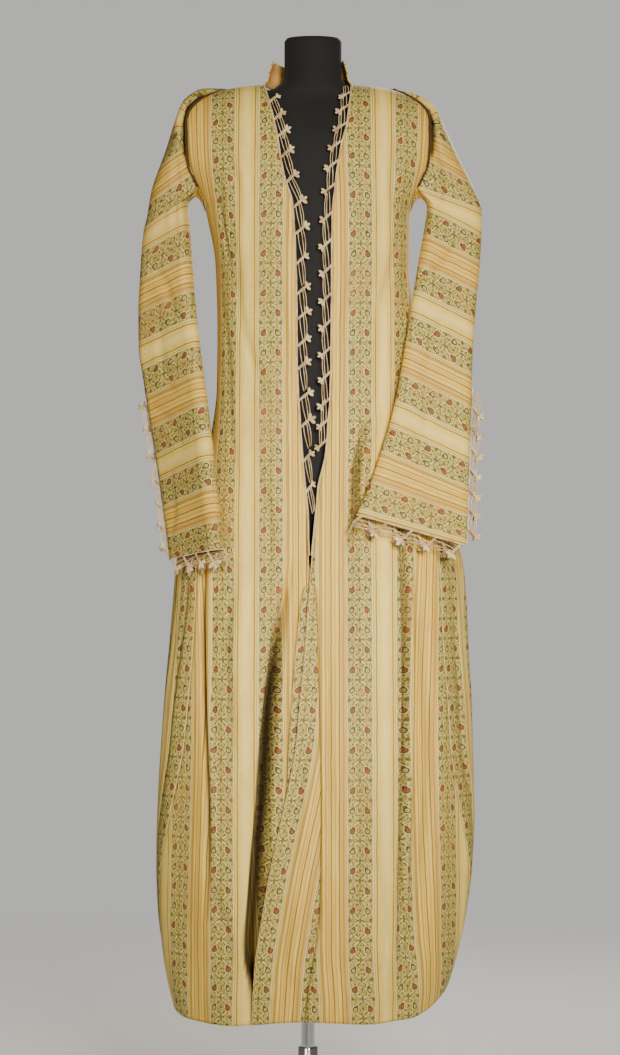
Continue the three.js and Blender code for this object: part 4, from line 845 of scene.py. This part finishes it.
# ============================================================== the sleeves
# Each sleeve is one piece, folded along the top of the arm and seamed below it, with the stripes running
# across. Its outer edge is slit from the forearm to the cuff.
# Rows down the sleeve: the place of the underarm seam, or above it the armhole's dome angle; the place of the
# outer edge; the half-thickness; the roundness of the outer edge; and the half-width of the slit.
SLEEVE_RIGHT = [
    (74, (-170, 8, 1650), 25, 0.75, 0), (68, (-184, 8, 1645), 32, 0.75, 0),
    (60, (-200, 7, 1632), 38, 0.75, 0), (50, (-215, 6, 1594), 44, 0.75, 0),
    (38, (-227, 4, 1555), 46, 0.75, 0), (20, (-251, 4, 1487), 42, 0.72, 0),
    (8, (-258, 6, 1447), 34, 0.62, 0), ((-192, -2, 1468), (-263, 8, 1424), 27, 0.5, 0),
    ((-190, -12, 1430), (-266, 10, 1391), 22, 0.35, 0), ((-187, -24, 1383), (-268, 12, 1346), 19, 0.25, 0),
    ((-183, -36, 1326), (-270, 14, 1290), 17, 0.2, 0), ((-177, -48, 1270), (-269, 14, 1233), 15, 0.16, 0),
    ((-172, -60, 1227), (-262, 12, 1190), 14, 0.14, 0), ((-165, -72, 1174), (-252, 8, 1138), 14, 0.12, 4.5),
    ((-158, -86, 1119), (-241, 2, 1082), 14, 0.1, 6.5), ((-152, -100, 1063), (-231, -8, 1029), 14, 0.1, 8),
    ((-146, -116, 1008), (-223, -26, 977), 14, 0.1, 9), ((-140, -136, 961), (-216, -48, 935), 14, 0.1, 10),
    ((-134, -156, 917), (-210, -70, 900), 14, 0.1, 11),
]
SLEEVE_LEFT = [
    (74, (168, 8, 1641), 25, 0.75, 0), (68, (184, 8, 1634), 32, 0.75, 0), (60, (202, 7, 1620), 38, 0.75, 0),
    (50, (217, 5, 1594), 44, 0.75, 0), (38, (235, 0, 1553), 46, 0.75, 0), (20, (265, -4, 1490), 42, 0.72, 0),
    (8, (278, -6, 1455), 34, 0.62, 0),
    ((190, -10, 1463), (278, -8, 1420), 27, 0.5, 0), ((186, -30, 1426), (275, -12, 1384), 21, 0.35, 0),
    ((178, -44, 1382), (271, -18, 1339), 18, 0.25, 0), ((168, -58, 1325), (265, -26, 1280), 16, 0.2, 0),
    ((159, -68, 1269), (261, -36, 1220), 14, 0.16, 0), ((151, -76, 1221), (259, -44, 1170), 13, 0.14, 0),
    ((143, -85, 1174), (256, -52, 1121), 13, 0.12, 4.5), ((130, -98, 1118), (253, -64, 1062), 12, 0.1, 6),
    ((114, -112, 1068), (250, -78, 1012), 12, 0.1, 7), ((99, -126, 1023), (248, -92, 970), 12, 0.1, 8),
    ((87, -137, 995), (247, -103, 944), 12, 0.1, 8), ((76, -147, 970), (245, -112, 922), 12, 0.1, 8),
]
# The stripes' count at heights down the middle of each sleeve.
STRIPES_RIGHT = [(850, 529.5), (925, 458.5), (1060, 332), (1239, 166), (1427.5, 0), (1660, -225)]
STRIPES_LEFT = [(850, 584), (974, 458.5), (1099, 332), (1280.5, 166), (1453, 0), (1660, -205)]


STEP = 0.4  # degrees, to measure slopes by
ARMHOLE_GAP = 1.2


def armhole_ends(side, dome):
    """The two points just outside the armhole's edge at a dome angle, on the front and the back."""
    ends = []
    for column in (1, 2):
        def at(d_angle, d_row):
            row = ARMPIT + dome + d_row
            return robe(side * side_angle(row, column) + d_angle, row)
        across = at(STEP, 0) - at(-STEP, 0)
        if dome > 90 - STEP:
            out = np.array([-across[2], 0, across[0]]) * np.sign(across[0])
        else:
            out = np.cross(across, at(0, STEP) - at(0, -STEP))
        away = unit(np.cross(at(0, 0) - at(0, -2), unit(out)))
        ends.append(at(0, 0) + away * ARMHOLE_GAP * np.sign(away[0]) * side)
    return ends


# The sleeve's half-width at the seam, and at the outer edge where there is no slit.
SEAM_EDGE, CLOSED_EDGE = 0.15, 0.7
SEAM_ROUND, HEAD_ROUND = 0.14, 0.06  # the share of its width that turns at the seam and at the armhole


def sleeve_rows(side, table, t):
    """The sleeve's points at each row of its table, on the front layer and then back again on the other."""
    low, knee, top = (armhole_ends(side, d) for d in (80, 85, 90))
    rows = [np.concatenate([
        np.where(t[:, None] < 0.5, low[k] + (knee[k] - low[k]) * 2 * t[:, None],
                 knee[k] + (top[k] - knee[k]) * (2 * t[:, None] - 1))[:: 1 - 2 * k] for k in (0, 1)])]
    for start, end, half, bow, slit in table:
        end = np.array(end, float)
        if isinstance(start, tuple):
            middle, gap, inner = np.array(start, float), SEAM_EDGE, SEAM_ROUND
            along = end - middle
            normal = unit(np.array([side * along[1], -side * along[0], 0]))
        else:
            ends = armhole_ends(side, start)
            middle, gap, inner = (ends[0] + ends[1]) / 2, (ends[1][1] - ends[0][1]) / 2, HEAD_ROUND
            along, normal = end - middle, np.array([0, -1.0, 0])
        edge = slit or CLOSED_EDGE
        near, far = np.clip(3 * t, 0, 1) * math.pi / 2, np.clip(3 * (1 - t), 0, 1) * math.pi / 2
        share = np.where(
            t < 1 / 3, inner * (1 - np.cos(near)), np.where(
                t <= 2 / 3, inner + (1 - bow - inner) * (3 * t - 1), 1 - bow * (1 - np.cos(far))))
        width = np.sqrt(np.where(
            t < 1 / 2, gap ** 2 + (half ** 2 - gap ** 2) * np.sin(near) ** 2,
            edge ** 2 + (half ** 2 - edge ** 2) * np.sin(far) ** 2))
        layers = [middle + along * share[:, None] + normal * layer * width[:, None] for layer in (1, -1)]
        rows.append(np.concatenate([layers[0], layers[1][::-1]]))
    return np.array(rows)


def fill_rows(rows, count):
    """Smooth rows between the given ones, evenly down the sleeve, and how far down each lies in rows."""
    steps = distance(rows[:, rows.shape[1] // 4]) + np.arange(len(rows))
    at = np.sort(np.r_[np.linspace(0, steps[-1], count), steps[1:-1]])
    filled = np.stack([
        curve(np.column_stack([steps, rows[:, c].reshape(len(rows), -1)]), at, k)
        for c in range(rows.shape[1]) for k in (1, 2, 3)], -1)
    return filled.reshape(len(at), rows.shape[1], 3), np.interp(at, steps, np.arange(len(steps)))


# A layer of the sleeve bends at its seam in the first third of t, and at its outer edge in the last.
t = np.r_[np.linspace(0, 1 / 3, 14), np.linspace(1 / 3, 2 / 3, 14)[1:], np.linspace(2 / 3, 1, 16)[1:]]
SLEEVE_ROWS = 110
SLIT_ROW = 13  # the row of the tables where the slit starts
# The dip along the armhole and the swell beyond it: depth, distance from the edge and half-width.
DIP, SWELL = (11, 6.5, 4.6), (-3.0, 20, 8)
# On the sleeves the first number of each place counts down the arm, and the second across it, front first.
SLEEVE_CREASES = {
    "right": [
        ((-120, -60), (40, -95), 9, 3.0), ((30, -30), (150, -110), 10, 3.4), ((120, -50), (250, -80), 9, 2.6),
        ((230, -30), (330, -100), 9, 2.8), ((340, -60), (450, -40), 8, 2.2), ((-60, 60), (60, 100), 10, 3.2),
        ((80, 40), (210, 90), 10, 3.0), ((250, 60), (400, 50), 9, 2.6),
    ],
    "left": [
        ((-120, 60), (30, 100), 9, 3.0), ((20, 40), (140, 120), 10, 3.4), ((130, 60), (280, 100), 9, 2.6),
        ((250, 50), (370, 110), 9, 2.8), ((400, 70), (520, 60), 8, 2.4), ((-60, -60), (50, -100), 10, 3.2),
        ((90, -50), (230, -100), 10, 3.0), ((280, -60), (450, -60), 9, 2.6),
    ],
}
sleeve_grids, sleeves = {}, {}
for name, side, table, stripes, even_shade in (  # the last number is painted shade, an even darkening all over
    ("right", -1, SLEEVE_RIGHT, STRIPES_RIGHT, 0.2), ("left", 1, SLEEVE_LEFT, STRIPES_LEFT, 0.06),
):
    rows, down = fill_rows(sleeve_rows(side, table, t), SLEEVE_ROWS)
    rows, half = rows[:, ::-side], len(t)
    # Its rows start and end at the armhole down to the armpit, and there it drops into the dip.
    arc = distance(rows, 1)
    past_armpit = 100 * smooth(down, 5.6, 6.8)[:, None]
    away = np.minimum(arc, arc[:, -1:] - arc) + past_armpit
    dip = sum(deep * np.exp(-((away - at) / wide) ** 2) for deep, at, wide in (DIP, SWELL))
    rows = rows - outward(rows) * dip[..., None]
    arc = arc - arc[:, half:half + 1]
    centre = (rows[:, 0, 2] + rows[:, half, 2]) / 2
    count = np.interp(centre, *np.array(stripes).T)[:, None] + 0 * arc
    cloth = np.stack([count, arc], -1)
    sleeve_grids[name] = rows, down, half
    # Painted shade darkens the dip along the armhole, wider towards the armpit.
    wedge = smooth(rows[..., 2], 1535, 1462)
    extra_shade = (0.94 + 0.04 * wedge) * np.exp(-((away - 5 - 5 * wedge) / (5.5 + 8 * wedge)) ** 4)
    sleeves[name] = hang(
        f"sleeve_{name}", rows, cloth, SLEEVE_CREASES[name], np.maximum(extra_shade, even_shade),
        skip=lambda r, c: c == half - 1 and down[r] > SLIT_ROW - 0.01)

# ============================================================== the underarm gussets
# A small arched lens of the same cloth lets each arm lift. It lies between the armhole's foot and the head of
# the sleeve's seam.
FIRST_FREE_ROW = 7  # of the sleeves' tables, just below the armhole
GUSSET_ROWS, GUSSET_COLUMNS = 11, 25
BEND_AT, ARCH = 0.55, 15
ROBE_GAP, SLEEVE_GAP, SLEEVE_LIFT = 1.8, 0.9, 2.34
for name, side, table in (("right", -1, SLEEVE_RIGHT), ("left", 1, SLEEVE_LEFT)):
    seam, head = np.array(table[FIRST_FREE_ROW][0], float), armhole_ends(side, 8)
    grid = []
    for v in np.linspace(0, 1, GUSSET_ROWS):
        line = []
        for u in np.linspace(0.12, 0.88, GUSSET_COLUMNS):
            column, to_tip = (1, 1 - 2 * u) if u < 0.5 else (2, 2 * u - 1)
            foot, knee, tip = robe(side * 90, ARMPIT), *(
                robe(side * side_angle(ARMPIT + d, column), ARMPIT + d) for d in (3, 8))
            on_robe = foot + (knee - foot) * to_tip / BEND_AT if to_tip < BEND_AT else (
                knee + (tip - knee) * (to_tip - BEND_AT) / (1 - BEND_AT))
            on_sleeve = seam + (head[column - 1] - seam) * to_tip
            across = unit(on_sleeve - on_robe)
            low, high = on_robe + across * ROBE_GAP, on_sleeve - across * SLEEVE_GAP + (0, 0, SLEEVE_LIFT)
            arch = ARCH * 4 * v * (1 - v) * math.sin(math.pi * u)
            line.append(low + (high - low) * v + (0, 0, arch))
        grid.append(line)
    grid = np.array(grid)
    cloth = np.stack(np.broadcast_arrays(
        np.linspace(64, 100, GUSSET_ROWS)[:, None], np.linspace(0, 60, GUSSET_COLUMNS)[None]), -1)
    hang(f"gusset_{name}", grid[:, ::side], cloth, thick=1.4)

# ============================================================== the collar
# A low stand collar cut along the stripes and doubled is sewn round the neckline, from one front edge to the
# other. Its inner half is plain cotton.
neck = [dome for dome, x in BACK_NECK if x > 0]
feet = np.array([
    *(robe(front_angle(edge_x(RIGHT_EDGE, row), row), row) for row in (ARMPIT + 80, ARMPIT + 85)),
    *(robe(-back_inner(ARMPIT + dome), ARMPIT + dome) for dome in reversed(neck)),
    robe(180, ARMPIT + BACK_NECK[0][0]),
    *(robe(back_inner(ARMPIT + dome), ARMPIT + dome) for dome in neck),
    *(robe(front_angle(edge_x(LEFT_EDGE, row), row), row) for row in (ARMPIT + 85, ARMPIT + 80)),
])
around = distance(feet)
at = np.linspace(0, around[-1], 100)
foot = np.stack([curve(np.column_stack([around, feet]), at, k) for k in (1, 2, 3)], -1)
inward = unit((np.array([4, 4, 0]) - foot) * (1, 1, 0))
COLLAR_HIGH, COLLAR_LEAN, COLLAR_ROWS, COLLAR_GAP = 38, 13, 15, 1.2
grid = []
for v in np.linspace(0, 1, COLLAR_ROWS):
    wave = 0.7 * np.sin(at / 23) * v + 0.5 * np.sin(at / 9 + 2) * v * v
    lean = COLLAR_GAP + COLLAR_LEAN * v + 2 * math.sin(math.pi * min(1, 2 * v)) + wave
    grid.append(foot + inward * lean[:, None] + np.array([0, 0, COLLAR_GAP + COLLAR_HIGH * v]))
cloth = np.stack(np.broadcast_arrays(np.linspace(62, 101, COLLAR_ROWS)[:, None], at[None]), -1)
collar = hang("collar", np.array(grid)[:, ::-1], cloth[:, ::-1], thick=1.8)


def spun_look(name, colours, roughness, sheen, fibres, clouds, share, ends, relief):
    """The look of spun thread. Fine fibres and soft clouds shade it between the last two colours, and share
    is the clouds' part in that."""
    made, main = new_material(name, colours[0], roughness[0], sheen=sheen)
    spot = place_of()
    fibre, cloud = noise(spot, fibres, 2), noise(spot, clouds, 3)
    finish(main, blend(colours[1], colours[2], (cloud * share + fibre * (1 - share)).fade(*ends)),
           fibre * roughness[1] + roughness[2], fibre, *relief)
    return made


lining = spun_look(
    "cotton lining", (tint(214, 164, 88), tint(190, 134, 62), tint(232, 186, 106)), (0.8, 0.2, 0.7), 0.05,
    (700, 700, 260), (40, 40, 40), 0.75, (0.32, 0.66), (0.0003, 0.7))
collar.data.materials.append(lining)
collar.modifiers["wall"].material_offset = 1


# ============================================================== the edgings and seam cords
# A fine cord of cream silk is sewn over each raw edge and the neck seam. A dark brown cord along each
# armhole's seam is painted shadow, where the cloth turns into the seam.
def join(solids):
    """The points and faces of several solids as one."""
    points, faces, first = [], [], 0
    for some, those in solids:
        points.append(some)
        faces += [tuple(first + i for i in face) for face in those]
        first += len(some)
    return np.concatenate(points), faces


def cords(lines, radius, sides=6, twist=None):
    """Round cords along (points, normal) lines. twist=(offset, pitch) lays two strands in each."""
    turn = np.linspace(0, 2 * math.pi, sides, endpoint=False)[:, None]
    strands = []
    for line, normal in lines:
        way = unit(np.gradient(line, axis=0))
        side = unit(np.cross(way, normal))
        other = np.cross(side, way)
        for phase in ((0, math.pi) if twist else (0,)):
            middle = line
            if twist:
                lay = (distance(line) / twist[1] * 2 * math.pi + phase)[:, None]
                middle = line + twist[0] * (np.cos(lay) * side + np.sin(lay) * other)
            ring = middle[:, None] + radius * (np.cos(turn) * side[:, None] + np.sin(turn) * other[:, None])
            last = (len(line) - 1) * sides
            caps = [tuple(reversed(range(sides))), tuple(range(last, last + sides))]
            strands.append((ring.reshape(-1, 3), grid_faces(len(line), sides, close=True) + caps))
    return join(strands)


silk = spun_look(
    "cream silk cord", (tint(226, 198, 136), tint(190, 150, 84), tint(234, 206, 142)), (0.5, 0.3, 0.4), 0.15,
    (900, 900, 900), (24, 24, 24), 0.7, (0.3, 0.7), (0.0003, 0.7))
edge_cords, armhole_shadow_cords = {}, {}
for name, table, surface in (("right", RIGHT_EDGE, right_front), ("left", LEFT_EDGE, robe)):
    line = surface(front_angle(edge_x(table, BODY_ROWS), BODY_ROWS), BODY_ROWS) + (0, 0.7, 0)
    points, faces = cords([(line, (0, -1, 0))], radius=0.55, sides=5, twist=(0.5, 4.5))
    edge_cords[name] = put(f"edge_cord_{name}", points, faces, silk)

# The hem's cord runs from the right front's edge round the back to the left front's edge.
start, end = (float(front_angle(curve(edge, HEM_FOOT), HEM_FOOT)) for edge in (RIGHT_EDGE, LEFT_EDGE))
angle = (np.linspace(start, end - 360, 420) + 180) % 360 - 180
on_front = (angle < start + 0.1) & (angle > -90)
line = np.where(on_front[:, None], right_front(angle, HEM_FOOT), robe(angle, HEM_FOOT))
line = line - 0.7 * unit((line - (STAND_X, 0, 0)) * (1, 1, 0))
points, faces = cords([(line, (0, 0, 1))], radius=0.6, sides=5, twist=(0.55, 5))
put("hem_cord", points, faces, silk)

# The armhole cords' dark brown is painted shadow along the seams.
shadow_cord_look, _ = new_material("armhole painted shadow", tint(70, 48, 20), 0.9)
for name, side in (("right", -1), ("left", 1)):
    rings = [armhole_ends(side, dome) for dome in (8, *range(11, 90, 3), 89.5)]
    line = np.array([front for front, _ in rings] + [back for _, back in rings[::-1]]) + (0.6 * side, 0, 0)
    points, faces = cords([(line, (0.02, 0.01, 1))], radius=1.7, sides=8)
    armhole_shadow_cords[name] = put(f"armhole_shadow_cord_{name}", points, faces, shadow_cord_look)
points, faces = cords([(foot + inward * 0.8 + (0, 0, 0.7), (0, 0, 1))], radius=0.9)
neck_cord = put("neck_cord", points, faces, silk)

# ============================================================== the needle lace
# Strips of knotted silk lace run down both front edges, round the cuffs and along the slits. At each repeat a
# slanted spur of twisted thread ends in a small three-petalled knot, and finer threads join it to the next.
oya = spun_look(
    "lace thread", (tint(216, 190, 146), tint(170, 134, 84), tint(234, 210, 162)), (0.7, 0.25, 0.55), 0.2,
    (1300, 1300, 1300), (60, 60, 60), 0.75, (0.3, 0.66), (0.0005, 0.9))

# The knobs on the front edges: height, and how far each stands out.
LACE_RIGHT = [
    (1017, 15), (1064, 17), (1118, 21), (1160, 21), (1209, 20), (1245, 21), (1287, 21), (1328, 20),
    (1375, 20), (1420, 21), (1463, 20), (1502, 22), (1541, 22), (1576, 21), (1603, 20), (1630, 18),
]
LACE_LEFT = [
    (1075, 16), (1106, 17), (1140, 18), (1180, 18), (1221, 18), (1262, 18), (1303, 18), (1347, 18),
    (1388, 18), (1431, 18), (1477, 18), (1513, 18), (1545, 18), (1576, 18), (1607, 18), (1632, 17),
]


THREAD, THREAD_TWIST, FINE_THREAD = 0.8, (0.75, 4.6), 0.62
PETAL_LONG, PETAL_WIDE, PETAL_THICK, PETAL_TURN = 2.9, 1.75, 1.35, 62
# The fine threads to the next spur: the share of the spur's lean and of the knob's height at a thread's start
# and at its end, then how far out it lies, and its bow across the strip and out of it.
LINKS = [
    (-0.25, 0.62, 0.05, 0.74, 0.2, 0.10, 0.8), (-0.40, 0.50, -0.15, 0.64, 0, 0.02, -0.5),
    (-0.72, 0.24, -0.35, 0.50, 0, -0.05, 0.4),
]


def petal(middle, way, normal, long, wide, thick):
    """A flattened bead of knotted thread, long along its way."""
    way, normal = unit(way), unit(normal)
    side = np.cross(normal, way)
    lat, lon = np.radians(np.linspace(-60, 60, 5))[:, None, None], np.radians(np.arange(0, 360, 45))[:, None]
    points = (middle + way * long * np.sin(lat) + side * wide * np.cos(lat) * np.cos(lon)
              + normal * thick * np.cos(lat) * np.sin(lon))
    faces = grid_faces(5, 8, close=True)
    faces += [(40, (i + 1) % 8, i) for i in range(8)] + [(41, 32 + i, 32 + (i + 1) % 8) for i in range(8)]
    return np.concatenate([points.reshape(-1, 3), [middle - way * long, middle + way * long]]), faces


def lace(name, at, width, out, knobs, slant, seed):
    """A strip along a line of points, with its width's direction and normal at each, and with knobs at
    (distance, height)."""
    dice = np.random.default_rng(seed)
    width, out, run = unit(width), unit(out), distance(at)

    def place(line):
        """Turns places in the strip, as distance, height and lift, into points and normals."""
        line = np.asarray(line, float)
        point, wide, normal = (
            np.stack([np.interp(line[:, 0], run, part[:, k]) for k in range(3)], -1)
            for part in (at, width, out))
        return point + wide * line[:, 1:2] + normal * line[:, 2:3], normal

    def strand(a, b, bow, lift, count=9):
        """A bowed thread between two places in the strip."""
        t = np.linspace(0, 1, count)[:, None]
        return place(a + (np.array(b) - a) * t + (0, bow, lift) * np.sin(math.pi * t))

    # The root is a twisted cord along the edge.
    steps = np.arange(0, run[-1], 2.4)
    thick, thin, solids = [place(np.column_stack([steps, 0 * steps + 0.4, 0 * steps]))], [], []
    gap = float(np.median(np.diff([s for s, _ in knobs])))
    lean = slant * min(13, 0.33 * gap)
    for s, v in knobs:
        s, v = s + dice.uniform(-1.2, 1.2), v * dice.uniform(0.92, 1.02)
        root = np.clip(s - lean, 1, run[-1] - 1)
        tip = (s, v * 0.80, 0.3)
        thick.append(strand((root, 0.5, 0), tip, 0.6, 0.5, 8))
        thin.append(strand((root + slant * 1.6, 0.5, 0.2), (s + slant * 1.2, v * 0.74, 0.6), -0.7, 0.8, 8))
        nearest = s - slant * gap
        if 1 < nearest < run[-1] - 1:
            thin += [
                strand((s + lean * s0, v * v0, off), (nearest + lean * s1, v * v1, off), v * bow, lift)
                for s0, v0, s1, v1, off, bow, lift in LINKS]
        (middle, ahead), normal = place([tip, (s + lean * 0.16, v, 0.3)])
        way, normal = unit(ahead - middle), normal[0]
        side = np.cross(normal, way)
        size = v / 13 * dice.uniform(0.9, 1.1)
        for turn in (-PETAL_TURN, 0, PETAL_TURN):
            turn = math.radians(turn + dice.uniform(-9, 9))
            to = way * math.cos(turn) + side * math.sin(turn) + normal * dice.uniform(-0.25, 0.25)
            long = PETAL_LONG * size
            solids.append(petal(middle + to * long, to, normal, long, PETAL_WIDE * size, PETAL_THICK))
        solids.append(petal(middle + normal * 0.4, way, normal, 1.5, 1.5, 1.1))
    points, faces = join([cords(thick, THREAD, 5, twist=THREAD_TWIST), cords(thin, FINE_THREAD, 5)] + solids)
    return put(f"needle_{name}", points, faces, oya, [name])


def even_knobs(at, start, end, count, high):
    """Knobs spread evenly along a line, from this far after its start to this far before its end."""
    long = distance(at)[-1] - start - end
    return [(start + long * (i + 0.5) / count, high) for i in range(count)]


LACE_FOOT = 905
rows = BODY_ROWS[(BODY_ROWS > LACE_FOOT) & (BODY_ROWS <= ARMPIT + 85)]
for name, table, edge, toward, seed, front, flat, area in (
    ("right", LACE_RIGHT, RIGHT_EDGE, 1, 11, front_right, (0.328, 1.58), 0.3352),
    ("left", LACE_LEFT, LEFT_EDGE, -1, 12, front_left, (0.316, 1.56), 0.3239),
):
    angle = front_angle(edge_x(edge, rows), rows)
    width = unit(robe(angle + toward, rows) - robe(angle, rows))
    out = unit(np.cross(
        robe(angle + STEP, rows) - robe(angle - STEP, rows), robe(angle, rows) - robe(angle, rows - STEP)))
    at = robe(angle, rows) + width * 1.1 - out
    knobs = [(float(np.interp(z, at[:, 2], distance(at))), v) for z, v in table]
    strip = lace(f"lace_front_{name}", at, width, out, knobs, toward, seed)

for name, side, repeats, seed, flat, area in (
    ("right", -1, 8, 21, (0.29, 0.85), 0.1771), ("left", 1, 9, 31, (0.387, 0.82), 0.1826),
):
    grid, down, half = sleeve_grids[name]
    keep = down > SLIT_ROW - 0.01
    width = unit(grid[keep, half] - (grid[keep, 0] + grid[keep, -1]) / 2)
    out = np.stack([side * width[:, 1], -side * width[:, 0], 0 * width[:, 0]], -1)
    for face, column in zip(("front", "back"), (half - 1, half)[::-side]):
        at = grid[keep, column] + width * 1.5
        knobs = even_knobs(at, 22, 4, 7, 19)
        lace(f"lace_slit_{face}_{name}", at, width, out, knobs, side, seed + len(face))
    # The cuff's lace runs round the sleeve's last row, past both edges of the slit.
    ring = np.r_[np.arange(half - 1, -1, -1), np.arange(2 * half - 1, half - 1, -1)]
    ring = ring[np.r_[True, np.diff(distance(grid[-1, ring])) > 0.05]][::-side]
    at, width = grid[-1, ring], unit(grid[-1, ring] - grid[-6, ring])
    out = np.cross(np.gradient(at, axis=0), width)
    out *= np.sign((out * (at - at.mean(0))).sum(-1, keepdims=True))
    at = at + width * 1.1
    lace(f"lace_cuff_{name}", at, width, out, even_knobs(at, 2, 2, repeats, 26), 1, seed + 7)

low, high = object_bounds()
